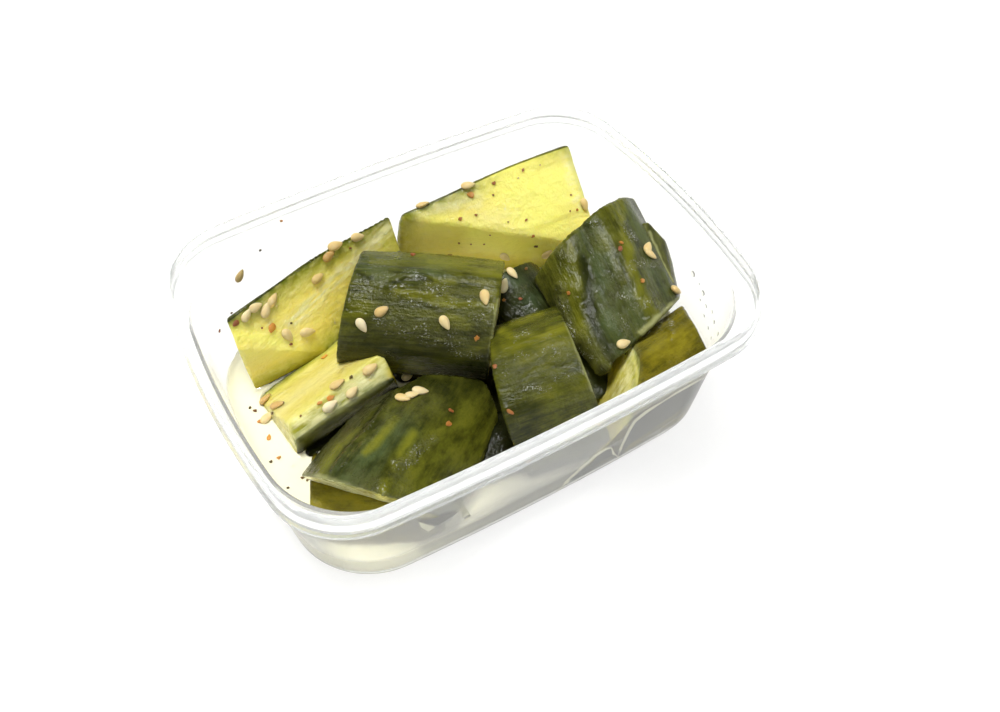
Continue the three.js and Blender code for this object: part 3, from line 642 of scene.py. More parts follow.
# ---------------------------------------------------------------- the tub's form
def outline(size, offset, z):
    """The plan outline at one height: four corner arcs that run smoothly into four long side arcs."""
    half_length, half_width, corner = size
    long, short, corner = LONG_SIDE_BOW + offset, SHORT_SIDE_BOW + offset, corner + offset
    long_centre = Vector((0, half_width + offset - long))
    short_centre = Vector((half_length + offset - short, 0))
    across = short_centre - long_centre
    apart = across.length
    reach_long, reach_short = long - corner, short - corner
    along = (apart**2 + reach_long**2 - reach_short**2) / (2 * apart)
    aside = math.sqrt(reach_long**2 - along**2)
    across.normalize()
    corner_centre = long_centre + across * along + Vector((across.y, -across.x)) * aside
    start = math.atan2(*(corner_centre - short_centre).yx)
    end = math.atan2(*(corner_centre - long_centre).yx)
    quarter = []
    stretches = (
        (short_centre, short, 0, start, SIDE_STEPS),
        (corner_centre, corner, start, end, CORNER_STEPS),
        (long_centre, long, end, math.pi / 2, SIDE_STEPS),
    )
    for centre, radius, first, last, steps in stretches:
        for i in range(steps):
            angle = first + (last - first) * i / steps
            quarter.append((centre.x + radius * math.cos(angle), centre.y + radius * math.sin(angle)))
    first_quarter = quarter[1:]
    top = first_quarter + [(0, half_width + offset)] + [(-x, y) for x, y in reversed(first_quarter)]
    ends = half_length + offset
    points = [(ends, 0), *top, (-ends, 0), *((x, -y) for x, y in reversed(top))]
    return [Vector((x, y, z)) for x, y in points]


def wall_at(z):
    """The inside of the wall at a height; it tapers from the ledge down to the base."""
    share = z / LEDGE_HEIGHT
    return tuple(low + (high - low) * share for low, high in zip(BASE, LEDGE))


def room(name, top, reach):
    """The room inside the tub up to a height; reach is how far it goes into the walls."""
    rings = [outline(BASE, reach - 4, FLOOR_TOP - reach)]
    rings += [outline(wall_at(z), reach - inside, z) for inside, z in FLOOR_ROUNDING]
    if top > LEDGE_HEIGHT:
        rings += [
            outline(wall_at(UNDER_THE_LEDGE), reach, UNDER_THE_LEDGE),
            outline(LEDGE, reach, LEDGE_HEIGHT + 0.2)]
    rings.append(outline(wall_at(min(top, LEDGE_HEIGHT)), reach, top))
    return loft(name, rings)


def moulded_tub():
    """From the middle of the underside, over the foot ring and up the outside, over the lip and down."""
    underside = [(-5, 0.8), (-4.4, 0), (-1.9, 0), (-0.3, 0.5), (0.55, 1.7)]
    outside = [(1, 35.4), (1, 36.2), (0.35, LIP_SHOULDER), (0.5, 38.3), (0, 39.2), (0, LIP_CROWN)]
    crown = [
        (-0.2, TUB_HEIGHT), (-LIP_WALL + 0.15, TUB_HEIGHT), (-LIP_WALL, LIP_CROWN),
        (-LIP_WALL, LIP_SHOULDER), (-1.2, LEDGE_HEIGHT)]
    inside = [(0, 35.5), (0, 5), (-0.7, 2.8), (-2.2, 1.9)]
    tub = loft("clear_tub", [
        *(outline(BASE, offset, z) for offset, z in underside),
        *(outline(wall_at(z), WALL, z) for z in (3.2, UNDER_THE_LEDGE)),
        *(outline(LIP, offset, z) for offset, z in outside + crown),
        outline(LEDGE, 0.5, LEDGE_HEIGHT),
        *(outline(wall_at(z), offset, z) for offset, z in inside),
        outline(BASE, -4, FLOOR_TOP),
    ])
    finished(
        tub, "BEVEL", width=LIP_EDGE, segments=2, limit_method="ANGLE", angle_limit=math.radians(25))
    alone(tub)
    bpy.ops.object.shade_smooth_by_angle(angle=math.radians(40))
    return tub


# ---------------------------------------------------------------- the cucumber's form
def placement(chunk):
    roll, pitch, heading = (math.radians(angle) for angle in chunk["turn"])
    return Matrix.Translation(chunk["at"]) @ Euler((roll, -pitch, heading)).to_matrix().to_4x4()


def skin_radius(chunk, angle, x):
    """How far the skin stands from the core line: shallow ribs, slow swellings and pressed grooves."""
    swell = SWELLING * math.sin(x / 7 + chunk["radius"]) * math.cos(angle * 2 + chunk["length"])
    ribs = RIB_HEIGHT * math.cos(angle * RIBS + x / 14)
    radius = chunk["radius"] * (1 + swell + ribs)
    for groove, depth, width in chunk.get("grooves", ()):
        across = chunk["radius"] * (angle - math.radians(groove)) / (width / 2)
        radius -= depth * math.exp(-across * across)
    return radius


def cuts_of(chunk):
    """The planes that cut a chunk, each as what it faces and its distance from the middle."""
    cuts = []
    for turn, lean, off in chunk["faces"]:
        turn, lean = math.radians(turn), math.radians(lean)
        facing = Vector((
            math.sin(lean), -math.sin(turn) * math.cos(lean), math.cos(turn) * math.cos(lean)))
        cuts.append((facing, off))
    for facing in (chunk["start"], chunk["end"]):
        facing = Vector(facing).normalized()
        cuts.append((facing, chunk["length"] / 2 * abs(facing.x)))
    return cuts


def cut_bar(name, chunk, grow):
    """One piece of cucumber where it lies, cut square or slanting at its ends and along its faces."""
    half = chunk["length"] / 2 + SPARE_LENGTH
    rings = []
    for row in range(BAR_ROWS + 1):
        x = half * (2 * row / BAR_ROWS - 1)
        ring = []
        for side in range(BAR_SIDES):
            angle = side / BAR_SIDES * math.tau
            angle -= math.tau if angle > math.pi else 0
            radius = skin_radius(chunk, angle, x) + grow
            height = -radius * math.cos(angle) * chunk.get("squash", 1)
            ring.append(Vector((x, radius * math.sin(angle), height)))
        rings.append(ring)
    bar = loft(name, rings)
    for facing, distance in cuts_of(chunk):
        edited(
            bar, bpy.ops.mesh.bisect, plane_co=facing * (distance + grow), plane_no=facing,
            use_fill=True, clear_outer=True)
    bar.data.transform(placement(chunk))
    return bar


def largest_part(piece):
    """Drops what a cut left loose."""
    edited(piece, bpy.ops.mesh.separate, type="LOOSE")
    parts = [o for o in bpy.context.selected_objects if o.type == "MESH"]
    keep = max(parts, key=lambda part: len(part.data.vertices))
    name = piece.name
    for part in parts:
        if part is not keep:
            bpy.data.objects.remove(part)
    keep.name = name
    return keep


def skin_relief(number, x, arc, wrinkles, sheen):
    """How far wet, salted skin stands out of its plain form: long folds, thin crests, small pebbles."""
    shift = number * 17.3
    folds = noise.noise(Vector((x * 0.09 + shift, arc * 0.4, shift)))
    line = noise.noise(Vector((x * 0.1 + shift, arc * 0.5 + 0.8 * folds, shift + 5)))
    crest = max(0, 1 - abs(line) * 10) ** 2
    patch = smooth_step(-0.1, 0.35, noise.noise(Vector((x * 0.1 + shift, arc * 0.14, shift + 9))))
    pebbles = noise.noise(Vector((x * 1.1 + shift, arc * 1.5, shift + 2)))
    fine = noise.noise(Vector((x * 2.4 + shift, arc * 2.8, shift + 3)))
    wrinkled = wrinkles * (FOLD_HEIGHT * folds + CREST_HEIGHT * crest * patch)
    return wrinkled + (PEBBLE_HEIGHT + SHEEN_PEBBLE_HEIGHT * sheen) * (pebbles + 0.7 * fine)


def flesh_relief(number, local, depth):
    """Cut flesh is slightly wavy, and the seedy middle stands a little higher than the ring round it."""
    shift = Vector((number * 3.1, number * 7.7, 0))
    waves = noise.noise(local * 0.22 + shift)
    grain = noise.noise(local * 1.4 + shift)
    middle = smooth_step(3.5, 8, depth)
    return FLESH_WAVES * waves + FLESH_GRAIN * grain + SEEDY_MIDDLE * middle


def marked(piece, node, chunk, number):
    """Notes where each point of a chunk lies in the cucumber and on which mark, and gives it relief."""
    inside = placement(chunk).inverted()
    squash = chunk.get("squash", 1)
    wrinkles = chunk.get("wrinkles", USUAL_WRINKLES)
    cuts = cuts_of(chunk)
    marks = Marks(node)
    mesh = piece.data
    notes = dict(place=[], body=[], marks=[], tints=[])
    heights = []
    for vertex in mesh.vertices:
        local = inside @ vertex.co
        angle = math.atan2(local.y, -local.z / squash)
        reach = math.hypot(local.y, local.z / squash)
        depth = skin_radius(chunk, angle, local.x) - reach
        on_a_cut = any(abs(facing.dot(local) - distance) < ON_A_CUT for facing, distance in cuts)
        if depth > UNDER_THE_SKIN and not on_a_cut:
            depth = 0
        arc = angle * chunk["radius"]
        found = marks.at(vertex.co)
        notes["place"] += (local.x, arc, depth)
        notes["body"] += tuple(local)
        # The dark marks carry painted shade to the material.
        notes["marks"] += (found["light"], found["dark"], found["sheen"])
        # The third tint is where glints are painted: fully on glint marks, half on ridges.
        notes["tints"] += (found["teal"], found["pale"], max(found["glint"], found["ridge"] * 0.5))
        skin = 1 - smooth_step(0.2, 0.7, depth)
        rise = RIDGE_HEIGHT * found["ridge"] + SWELL_HEIGHT * found["swell"]
        rise -= GROOVE_DEPTH * found["groove"]
        if skin > 0:
            rise += skin * skin_relief(number, local.x, arc, wrinkles, found["sheen"])
        if skin < 1:
            rise += (1 - skin) * flesh_relief(number, local, depth)
        heights.append(rise)
    for name, values in notes.items():
        attribute = mesh.attributes.new(name, "FLOAT_VECTOR", "POINT")
        attribute.data.foreach_set("vector", values)
    group = piece.vertex_groups.new(name="relief")
    lowest, highest = min(heights), max(heights)
    for index, height in enumerate(heights):
        group.add([index], (height - lowest) / (highest - lowest), "REPLACE")
    finished(piece, "SMOOTH", factor=0.5, iterations=chunk.get("soft", USUAL_SOFTENING))
    finished(
        piece, "DISPLACE", vertex_group="relief", direction="NORMAL",
        strength=highest - lowest, mid_level=-lowest / (highest - lowest))
    piece.vertex_groups.clear()
    smoothed(piece)


def kept_off_the_wall(piece, film):
    """Leaves room for a film of brine between a chunk and the wall."""
    smaller_room = room("smaller_room", HEADROOM, -film)
    carved(piece, "INTERSECT", smaller_room)
    remove(smaller_room)


def sliced_cucumber():
    """All the chunks, those on top first: where two would meet, the later one gives way."""
    tub_room = room("tub_room", HEADROOM, -WALL_GAP)
    cutters, chunks = [], {}
    for number, (node, chunk) in enumerate(CHUNKS.items()):
        piece = cut_bar("salad_" + node, chunk, 0)
        carved(piece, "INTERSECT", tub_room)
        if chunk.get("film"):
            kept_off_the_wall(piece, chunk["film"])
        for cutter in cutters:
            carved(piece, "DIFFERENCE", cutter)
        piece = largest_part(piece)
        cutters.append(cut_bar("cutter", chunk, NEIGHBOUR_GAP))
        finished(piece, "REMESH", mode="VOXEL", voxel_size=CUCUMBER_VOXEL, use_smooth_shade=True)
        marked(piece, node, chunk, number)
        chunks[node] = piece
    remove(*cutters, tub_room)
    return chunks


def cloudy_brine(chunks, tub):
    """The brine reaches just into the wall; its surface climbs a little up the wall and the chunks."""
    brine = room("cloudy_brine", BRINE_LEVEL, BRINE_REACH)
    for chunk in CHUNKS.values():
        cutter = cut_bar("cutter", chunk, -BRINE_REACH)
        if chunk.get("film"):
            kept_off_the_wall(cutter, chunk["film"])
        carved(brine, "DIFFERENCE", cutter)
        remove(cutter)
    brine = largest_part(brine)
    finished(brine, "REMESH", mode="VOXEL", voxel_size=BRINE_VOXEL, use_smooth_shade=True)
    marks = Marks("brine")
    gloom = []
    height, reach = CLIMB
    for vertex in brine.data.vertices:
        # The dark brine marks become its painted shade.
        gloom.append(marks.at(vertex.co)["dark"])
        if vertex.co.z > BRINE_LEVEL - BRINE_VOXEL / 2:
            gaps = []
            for solid in (*chunks.values(), tub):
                found, place, _, _ = solid.closest_point_on_mesh(vertex.co, distance=4 * reach)
                if found:
                    gaps.append((place - vertex.co).length)
            if gaps:
                vertex.co.z += height * math.exp(-min(gaps) / reach)
            vertex.co.z += RIPPLE * noise.noise(vertex.co * 0.4)
    noted(brine, "gloom", gloom)
    return smoothed(brine)


# ---------------------------------------------------------------- what lies on the chunks
def seen_at(pixel_x, pixel_y, pieces):
    """The first point that a line of sight meets, and its normal; both in metres, as the pieces are."""
    direction = -FOCAL_PIXELS * BACK
    direction += (pixel_x - PICTURE[0] / 2) * RIGHT + (PICTURE[1] / 2 - pixel_y) * UP
    direction.normalize()
    eye = Vector(VIEW_EYE) * MM
    nearest = None
    for piece in pieces:
        hit, point, normal, _ = piece.ray_cast(eye, direction)
        if hit and (nearest is None or (point - eye).length < (nearest[0] - eye).length):
            nearest = (point, normal)
    return nearest


def spots_on(solids, spots):
    """For every spot that lies on a solid: where, the surface's normal there, and the spot's values."""
    for pixel_x, pixel_y, *values in spots:
        hit = seen_at(pixel_x, pixel_y, solids)
        if hit:
            yield *hit, *values


def laid_on(piece, point, normal, turn, lift):
    """Lays a small piece on a surface, its long axis turned as it is in the picture."""
    turn = math.radians(turn)
    long = RIGHT * math.cos(turn) + UP * math.sin(turn)
    long = (long - normal * long.dot(normal)).normalized()
    across = normal.cross(long)
    place = Matrix((long, across, normal)).transposed().to_4x4()
    place.translation = point + normal * lift
    piece.data.transform(place)


def copy_of(piece):
    copy = piece.copy()
    copy.data = piece.data.copy()
    bpy.context.scene.collection.objects.link(copy)
    return copy


def joined(pieces, name):
    bpy.ops.object.select_all(action="DESELECT")
    for piece in pieces:
        piece.select_set(True)
    bpy.context.view_layer.objects.active = pieces[0]
    bpy.ops.object.join()
    pieces[0].name = name
    return pieces[0]


def sesame_seed():
    """A flat drop with a pointed end and a thin rim, its long axis along X."""
    bpy.ops.mesh.primitive_uv_sphere_add(
        segments=20, ring_count=12, radius=1, rotation=(0, math.pi / 2, 0))
    seed = bpy.context.active_object
    bpy.ops.object.transform_apply(rotation=True)
    noted(seed, "along", [vertex.co.x for vertex in seed.data.vertices])
    length, width, thickness = (size / 2 * MM for size in SEED_SIZE)
    for vertex in seed.data.vertices:
        x, y, z = vertex.co
        narrow = 1 - 0.34 * x - 0.12 * x * x
        edge = 1 - 0.25 * abs(y) ** 3
        vertex.co = (x * length, y * narrow * width, z * narrow * edge * thickness)
    return smoothed(seed)


def chilli_flake(rng, size):
    """A thin, slightly cupped scrap with an uneven outline."""
    bpy.ops.mesh.primitive_cylinder_add(vertices=9, radius=0.5, depth=1)
    flake = bpy.context.active_object
    seed = Vector((rng.uniform(0, 99), 0, 0))
    narrow = rng.uniform(0.55, 0.85)
    for vertex in flake.data.vertices:
        x, y, z = vertex.co
        wobble = 1 + 0.7 * noise.noise(Vector((x * 2.4, y * 2.4, 0)) + seed)
        cup = 0.5 * (x * x + y * y)
        vertex.co = (
            x * wobble * size * MM, y * wobble * narrow * size * MM,
            z * FLAKE_THICKNESS * MM + cup * size * 0.4 * MM)
    finished(flake, "BEVEL", width=FLAKE_EDGE * MM, segments=2)
    return smoothed(flake)


def scattered_seeds(solids):
    rng = random.Random(11)
    model = sesame_seed()
    seeds = []
    for point, normal, turn, brown in spots_on(solids, SEED_SPOTS):
        seed = copy_of(model)
        seed.data.transform(Matrix.Scale(rng.uniform(*SEED_SCALES), 4))
        seed.data.transform(Matrix.Rotation(math.radians(rng.uniform(-SEED_ROLL, SEED_ROLL)), 4, "X"))
        laid_on(seed, point, normal, turn, SEED_LIFT * MM)
        noted(seed, "brown", [brown] * len(seed.data.vertices))
        seeds.append(seed)
    remove(model)
    return joined(seeds, "sesame_seeds")


def scattered_flakes(solids):
    rng = random.Random(5)
    flakes = []
    for point, normal, turn, size, brown in spots_on(solids, FLAKE_SPOTS):
        flake = chilli_flake(rng, size)
        laid_on(flake, point, normal, turn, FLAKE_LIFT * MM)
        noted(flake, "brown", [brown] * len(flake.data.vertices))
        flakes.append(flake)
    return joined(flakes, "chilli_flakes")


def scattered_droplets(solids):
    """Beads of brine, flatter than half a ball, and slightly uneven."""
    rng = random.Random(3)
    droplets = []
    for point, normal, size in spots_on(solids, DROPLET_SPOTS):
        bpy.ops.mesh.primitive_uv_sphere_add(segments=20, ring_count=12, radius=0.5 * size * MM)
        droplet = bpy.context.active_object
        droplet.data.transform(Matrix.Diagonal((1, rng.uniform(0.75, 1), DROPLET_HEIGHT, 1)))
        laid_on(droplet, point, normal, rng.uniform(0, 180), 0)
        droplets.append(smoothed(droplet))
    return joined(droplets, "brine_droplets")


def wet_film(name, tub, corners):
    """A thin film where something wet touches the wall and makes it clear; its colour paints what shows
    through, light and shade included. Its corners are in pixels.
    """
    bpy.ops.mesh.primitive_circle_add(vertices=len(corners), radius=MM, fill_type="NGON")
    film = bpy.context.active_object
    film.name = name
    for vertex, corner in zip(film.data.vertices, corners):
        vertex.co, _ = seen_at(*corner, (tub,))
    finished(film, "TRIANGULATE")
    finished(film, "SUBSURF", subdivision_type="SIMPLE", levels=2)
    eye = Vector(VIEW_EYE) * MM
    for vertex in film.data.vertices:
        sight = (vertex.co - eye).normalized()
        _, outside, _, _ = tub.ray_cast(eye, sight)
        _, inside, _, _ = tub.ray_cast(outside + sight * STEP_INTO_WALL, sight)
        vertex.co = outside.lerp(inside, FILM_DEPTH)
    finished(film, "SOLIDIFY", thickness=FILM, offset=0)
    return film


def wet_line(name, tub, line, width):
    """The same along a line, tapering to both its ends."""
    sides = [], []
    for index, (x, y) in enumerate(line):
        (x0, y0), (x1, y1) = line[max(index - 1, 0)], line[min(index + 1, len(line) - 1)]
        length = math.hypot(x1 - x0, y1 - y0)
        half = width / 2 * (0.4 if index in (0, len(line) - 1) else 1)
        for side, way in zip(sides, (half, -half)):
            side.append((x - (y1 - y0) / length * way, y + (x1 - x0) / length * way))
    return wet_film(name, tub, [*sides[0], *reversed(sides[1])])


# ---------------------------------------------------------------- materials
class Wire:
    """A socket in a sum: the operators add the Math nodes that work it out."""

    def __init__(self, nodes, socket):
        self.nodes, self.socket = nodes, socket

    def maths(self, operation, first, second):
        return self.nodes.node("ShaderNodeMath", dict(operation=operation), {0: first, 1: second})

    def __add__(self, other):
        return self.maths("ADD", self, other)

    def __sub__(self, other):
        return self.maths("SUBTRACT", self, other)

    def __rsub__(self, other):
        return self.maths("SUBTRACT", other, self)

    def __mul__(self, other):
        return self.maths("MULTIPLY", self, other)

    __radd__ = __add__
    __rmul__ = __mul__


class Nodes:
    """The nodes of one material or of the world."""

    def __init__(self, owner):
        owner.use_nodes = True
        self.owner, self.tree = owner, owner.node_tree
        self.tree.nodes.clear()

    def node(self, kind, settings=None, sockets=None, output=0):
        """Adds a node, sets it up, fills or links its sockets, and gives one of its outputs."""
        made = self.tree.nodes.new(kind)
        for name, value in (settings or {}).items():
            if name == "stops":
                ramp = made.color_ramp
                while len(ramp.elements) < len(value):
                    ramp.elements.new(1)
                for element, (position, colour) in zip(ramp.elements, value):
                    element.position = position
                    element.color = (*colour, 1)
            else:
                setattr(made, name, value)
        for name, value in (sockets or {}).items():
            if isinstance(value, Wire):
                self.tree.links.new(value.socket, made.inputs[name])
            elif isinstance(value, tuple) and made.inputs[name].type == "RGBA":
                made.inputs[name].default_value = (*value, 1)
            else:
                made.inputs[name].default_value = value
        return Wire(self, made.outputs[output]) if len(made.outputs) else made

    def attribute(self, name, output="Vector"):
        return self.node("ShaderNodeAttribute", dict(attribute_name=name), output=output)

    def place(self):
        return self.node("ShaderNodeTexCoord", output="Object")

    def parts(self, vector):
        return [self.node("ShaderNodeSeparateXYZ", sockets={0: vector}, output=i) for i in range(3)]

    def vector(self, x, y, z):
        return self.node("ShaderNodeCombineXYZ", sockets={0: x, 1: y, 2: z})

    def noise(self, vector, scale, detail=3, roughness=0.5, distortion=0.0):
        return self.node("ShaderNodeTexNoise", sockets={
            "Vector": vector, "Scale": scale, "Detail": detail, "Roughness": roughness,
            "Distortion": distortion})

    def between(self, low, high, value):
        """0 under low and 1 over high, smoothly."""
        return self.node("ShaderNodeMapRange", dict(interpolation_type="SMOOTHSTEP"), {
            "Value": value, "From Min": low, "From Max": high})

    def ramp(self, value, stops):
        return self.node("ShaderNodeValToRGB", dict(stops=stops), {0: value})

    def mix(self, share, first, second):
        return self.node("ShaderNodeMix", dict(data_type="RGBA"), {
            "Factor": share, 6: first, 7: second}, output=2)

    def bump(self, height, distance):
        return self.node("ShaderNodeBump", sockets={"Height": height, "Distance": distance})

    def surface(self, **sockets):
        names = {name.replace("_", " ").title().replace("Ior", "IOR"): v for name, v in sockets.items()}
        return self.node("ShaderNodeBsdfPrincipled", sockets=names, output="BSDF")

    def either(self, share, first, second):
        """The first surface where the share is 0, the second where it is 1."""
        return self.node("ShaderNodeMixShader", sockets={0: share, 1: first, 2: second})

    def output(self, surface, kind="ShaderNodeOutputMaterial"):
        self.node(kind, sockets={"Surface": surface})
        return self.owner


def finish_named(name):
    return Nodes(bpy.data.materials.new(name))


def cucumber_finish(name, streaky, dark, light, stripe, flesh, core):
    """Wet cucumber: dark skin, more or less streaky, a thin green ring under it, and flesh that glows."""
    finish = finish_named(name)
    along, arc, depth = finish.parts(finish.attribute("place"))
    lighter, painted_shade, sheen = finish.parts(finish.attribute("marks"))
    teal, pale, glint = finish.parts(finish.attribute("tints"))
    body = finish.attribute("body")

    streaks = finish.noise(finish.vector(along * 0.05, arc * 0.62, 0.0), 1.0, 4, 0.62, 0.3)
    blotches = finish.noise(finish.vector(along * 0.14, arc * 0.22, 3.0), 1.0, 4, 0.6)
    threads = finish.noise(finish.vector(along * 0.25, arc * 2.4, 5.0), 1.0, 3, 0.6)
    pores = finish.noise(finish.vector(along * 1.1, arc * 1.4, 7.0), 2.2, 3, 0.6)
    clusters = finish.noise(finish.vector(along * 0.3, arc * 0.4, 9.0), 1.0, 2, 0.5)
    pattern = streaks * streaky + blotches * (1 - streaky)
    skin = finish.mix(finish.between(0.36, 0.66, pattern), dark, light)
    skin = finish.mix(finish.between(0.4, 0.7, pores) * 0.35, skin, DARKEST_SKIN_AND_SHADE)
    skin = finish.mix(teal * finish.between(0.25, 0.7, blotches) * 0.9, skin, TEAL_SKIN)
    skin = finish.mix(lighter * finish.between(0.25, 0.6, pattern) * 0.85, skin, stripe)
    skin = finish.mix(finish.between(0.45, 0.75, threads) * 0.45 * streaky, skin, stripe)
    # Painted sheen: the marked patches turn grey, as if they mirrored the lamps.
    skin = finish.mix(sheen * finish.between(0.3, 0.65, pores) * 0.5, skin, PAINTED_SHEEN_SKIN)
    skin = finish.mix(pale, skin, CUT_EDGE)
    # Painted shade: the dark marks darken the skin.
    skin = finish.mix(painted_shade * 0.9, skin, DARKEST_SKIN_AND_SHADE)
    # Painted glints: white specks in clusters on the glint marks.
    painted_glint_specks = finish.between(0.56, 0.64, pores) * finish.between(0.45, 0.6, clusters) * 0.6
    skin = finish.mix(painted_glint_specks * glint, skin, PAINTED_GLINT)
    pebbles = finish.noise(finish.vector(along * 0.8, arc * 1.0, 8.0), 1.0, 2, 0.55)

    cloud = finish.noise(body, 0.18, 3, 0.5)
    soft = finish.noise(body, 0.5, 2, 0.5)
    fibres = finish.noise(finish.vector(along * 0.12, arc * 0.5, depth * 0.5), 1.0, 4, 0.6)
    ring = finish.ramp(depth * 0.05 + cloud * 0.014 - 0.007, [*GREEN_RING, (0.3, flesh), (0.5, core)])
    meat = finish.mix(finish.between(0.35, 0.75, soft) * 0.3, ring, core)
    meat = finish.mix(finish.between(0.5, 0.75, fibres) * 0.25, meat, PALE_FLESH)
    # On wedge_back, these lighter marks are painted light.
    meat = finish.mix(lighter, meat, LEMON_FLESH)
    meat = finish.mix(pale * finish.between(0.3, 0.6, fibres), meat, PALE_FLESH)
    meat = finish.mix(teal * 0.6, meat, GREEN_FLESH)
    # Painted shade: the dark marks turn the flesh olive.
    meat = finish.mix(painted_shade * 0.85, meat, SHADED_OLIVE_FLESH)
    # Painted glints on the flesh as well.
    meat = finish.mix(painted_glint_specks * glint, meat, PAINTED_GLINT)

    rough_skin = pebbles * (sheen * 1.6 + 0.5) + pores * (sheen * 0.3 + 0.1) + threads * 0.3 + blotches
    wet_skin = finish.surface(
        base_color=skin, roughness=finish.between(0.3, 0.8, blotches) * 0.08 + 0.1, ior=1.38,
        normal=finish.bump(rough_skin, 0.0004))
    grain = finish.noise(body, 2.2, 2, 0.5)
    wet_flesh = finish.surface(
        base_color=meat, roughness=soft * 0.12 + 0.1, ior=1.38,
        normal=finish.bump(grain * 0.6 + fibres + soft * 2.0, 0.0002),
        subsurface_weight=0.5, subsurface_radius=IN_FLESH, subsurface_scale=1.0)
    return finish.output(finish.either(finish.between(0.3, 0.6, depth), wet_skin, wet_flesh))


def brine_finish():
    """Cloudy brine: nearly white from above, where it is lit; the grey behind the front wall and the dark
    between the chunks are painted shade.
    """
    finish = finish_named("cloudy_brine")
    place = finish.place()
    cloud = finish.noise(place, 60, 3, 0.5)
    across, back, height = finish.parts(place)
    # Painted light and shade: lit on top; lower down, lit at the left corner and shaded on from there;
    # shaded near the front wall.
    top = finish.mix(cloud, *BRINE_LIT_ABOVE)
    low = finish.mix(finish.between(-0.045, -0.01, across), *BRINE_LIT_AND_SHADED_BEHIND_THE_WALL)
    shade = finish.between(-0.022, -0.03, back) * finish.between(-0.02, -0.005, across)
    colour = finish.mix(finish.between(0.0085, 0.0097, height) * (1 - shade), low, top)
    # Painted shade in the gaps and along the front wall.
    gloom = finish.between(0.15, 0.45, finish.attribute("gloom", "Fac"))
    return finish.output(finish.surface(
        base_color=finish.mix(gloom, colour, BRINE_PAINTED_SHADE), roughness=cloud * 0.03 + 0.05,
        subsurface_weight=0.15, subsurface_radius=IN_BRINE, subsurface_scale=1.0))


def film_finish(name, first, second):
    finish = finish_named(name)
    cloud = finish.noise(finish.place(), 250, 3, 0.6)
    return finish.output(finish.surface(
        base_color=finish.mix(cloud, first, second), roughness=cloud * 0.1 + 0.15))


def tub_finish():
    """Clear, slightly milky polypropylene that scatters a little light, and more in the thick rim, which
    also has a faint painted glow.
    """
    finish = finish_named("milky_clear_plastic")
    place = finish.place()
    haze = finish.noise(place, 60, 2, 0.5)
    height = finish.parts(place)[2]
    wall = finish.surface(
        base_color=finish.mix(haze, *WALL_PLASTIC), roughness=haze * 0.04 + 0.12, ior=1.3,
        transmission_weight=0.98)
    # The rim glows faintly: painted light.
    rim = finish.surface(
        base_color=finish.mix(haze, *RIM_PLASTIC), roughness=haze * 0.02 + 0.09, ior=1.3,
        transmission_weight=0.8, emission_color=RIM_GLOW, emission_strength=0.05)
    return finish.output(finish.either(finish.between(0.0348, 0.0356, height), wall, rim))


def seed_finish():
    """Roasted sesame: cream to light brown, darker at the point."""
    finish = finish_named("roasted_sesame")
    brown = finish.attribute("brown", "Fac")
    along = finish.attribute("along", "Fac")
    mottle = finish.noise(finish.place(), 900, 2, 0.5)
    shell = finish.ramp(brown * 0.8 + mottle * 0.2, SESAME_SHELL)
    tip = finish.between(0.8, 0.98, along) * finish.between(0.2, 0.7, brown)
    return finish.output(finish.surface(
        base_color=finish.mix(tip, shell, SESAME_TIP), roughness=mottle * 0.15 + 0.3,
        normal=finish.bump(mottle, 0.00008), subsurface_weight=0.2, subsurface_radius=IN_SESAME,
        subsurface_scale=1.0))


def flake_finish():
    """Chilli flakes, soaked: bright orange, red or dark brown, and they let some light through."""
    finish = finish_named("chilli_flake")
    mottle = finish.noise(finish.place(), 700, 2, 0.5)
    colour = finish.ramp(finish.attribute("brown", "Fac") * 0.85 + mottle * 0.15, CHILLI)
    return finish.output(finish.surface(
        base_color=colour, roughness=mottle * 0.2 + 0.25, normal=finish.bump(mottle, 0.00008),
        subsurface_weight=0.3, subsurface_radius=IN_CHILLI, subsurface_scale=1.0))


def droplet_finish():
    finish = finish_named("brine_droplet")
    cloud = finish.noise(finish.place(), 300, 2, 0.5)
    return finish.output(finish.surface(
        base_color=finish.mix(cloud, *DROPLET), roughness=cloud * 0.02 + 0.02, ior=1.33,
        transmission_weight=1.0))


def floor_finish():
    finish = finish_named("white_table")
    grain = finish.noise(finish.place(), 200, 2, 0.5)
    return finish.output(finish.surface(
        base_color=finish.mix(grain, *TABLE), roughness=0.6, specular_ior_level=0.2,
        emission_color=(1.0, 1.0, 1.0), emission_strength=TABLE_GLOW))


def painted(piece, material):
    piece.data.materials.clear()
    piece.data.materials.append(material)


# ---------------------------------------------------------------- stage
def set_world():
    """White behind all that is looked at or through; in mirrors it is dim, but for the horizon."""
    sky = Nodes(bpy.data.worlds.new("studio"))
    height = sky.parts(sky.node("ShaderNodeTexCoord", output="Generated"))[2]
    seen, mirrored, through = (
        sky.node("ShaderNodeLightPath", output="Is " + ray + " Ray")
        for ray in ("Camera", "Glossy", "Transmission"))
    white, light, horizon, top = (
        sky.node("ShaderNodeBackground", sockets={"Strength": strength}) for strength in WORLD)
    mirror = sky.either(sky.between(0.1, 0.5, height), horizon, top)
    bpy.context.scene.world = sky.output(
        sky.either(seen.maths("MAXIMUM", seen, through), sky.either(mirrored, light, mirror), white),
        "ShaderNodeOutputWorld")


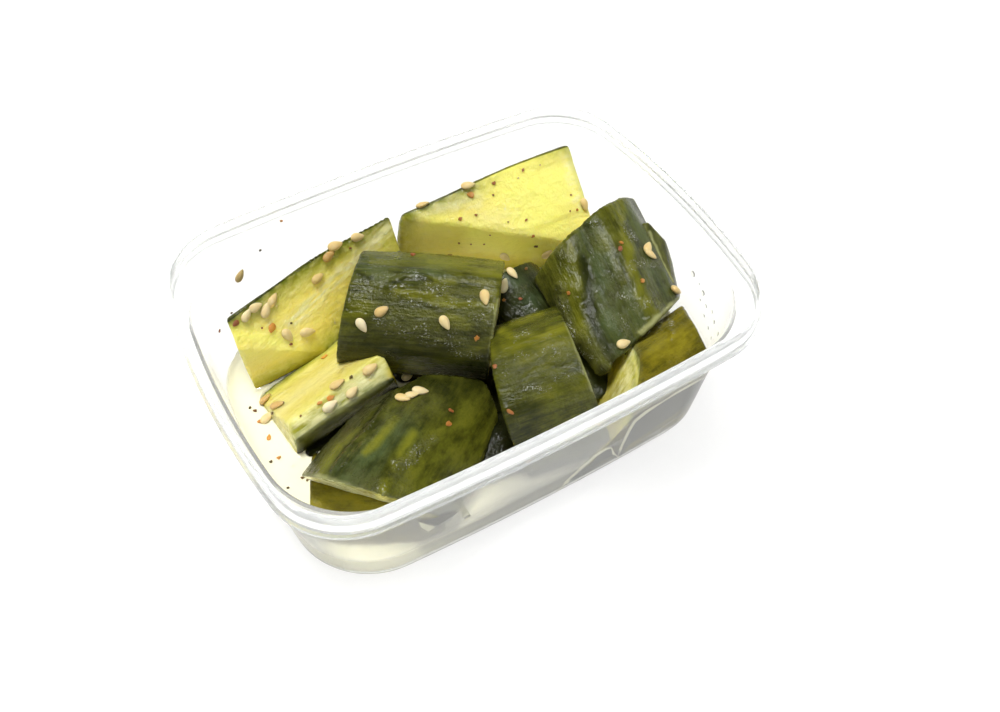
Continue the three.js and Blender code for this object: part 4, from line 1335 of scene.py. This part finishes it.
def set_stage():
    bpy.ops.mesh.primitive_grid_add(
        x_subdivisions=8, y_subdivisions=8, size=TABLE_SIZE, location=(0, 0, -TABLE_DROP))
    floor = bpy.context.active_object
    floor.name = "white_table"
    painted(floor, floor_finish())
    for name, azimuth, elevation, distance, size, power, colour, glints in LAMPS:
        a, e = math.radians(azimuth), math.radians(elevation)
        back = Vector((math.sin(a) * math.cos(e), -math.cos(a) * math.cos(e), math.sin(e)))
        bpy.ops.object.light_add(type="AREA", location=back * distance)
        lamp = bpy.context.active_object
        lamp.name = name
        lamp.rotation_euler = back.to_track_quat("Z", "Y").to_euler()
        lamp.data.shape = "SQUARE"
        lamp.data.size = size
        lamp.data.energy = power
        lamp.data.color = colour
        lamp.visible_camera = False
        lamp.visible_glossy = glints
        lamp.visible_diffuse = not glints
    set_world()
    bpy.context.scene.view_settings.view_transform = "Standard"


def set_camera():
    camera = bpy.data.objects.new("camera", bpy.data.cameras.new("camera"))
    bpy.context.scene.collection.objects.link(camera)
    camera.data.sensor_width = SENSOR
    camera.data.lens = FOCAL_PIXELS / PICTURE[0] * SENSOR
    camera.data.clip_start, camera.data.clip_end = CLIP
    place = Matrix((RIGHT, UP, BACK)).transposed().to_4x4()
    place.translation = Vector(VIEW_EYE) * MM
    camera.matrix_world = place
    bpy.context.scene.camera = camera


# ---------------------------------------------------------------- putting it together
def kept(piece, material, slot=None, node=None):
    painted(piece, material)
    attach(piece, "root")
    if slot:
        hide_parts(node)


set_camera()
set_stage()

chunks = sliced_cucumber()
tub = moulded_tub()
brine = cloudy_brine(chunks, tub)
for piece in (*chunks.values(), brine, tub):
    in_metres(piece)
solids = (*chunks.values(), brine, tub)
seeds = scattered_seeds(solids)
flakes = scattered_flakes(solids)
droplets = scattered_droplets(solids)
dark_films = joined([wet_film("dark_film", tub, corners) for corners in DARK_FILMS], "wet_dark_films")
pale_films = joined(
    [wet_film("pale_film", tub, corners) for corners in PALE_FILMS]
    + [wet_line("pale_line", tub, line, width) for width, line in PALE_LINES], "wet_pale_films")

slots = {part["node"]: part["material_slot"] for part in frame["record"]["subparts"]}
for node, piece in chunks.items():
    kept(piece, cucumber_finish("cucumber_of_" + node, *COLOURS[node]), slots[node], node)
kept(brine, brine_finish(), slots["brine"], "brine")
kept(tub, tub_finish(), slots["tub"], "tub")
kept(seeds, seed_finish())
kept(flakes, flake_finish())
kept(droplets, droplet_finish())
kept(dark_films, film_finish("wet_skin_in_shade_film", *WET_SKIN_IN_SHADE_FILM))
kept(pale_films, film_finish("brine_film", *BRINE_FILM))

bpy.context.view_layer.update()
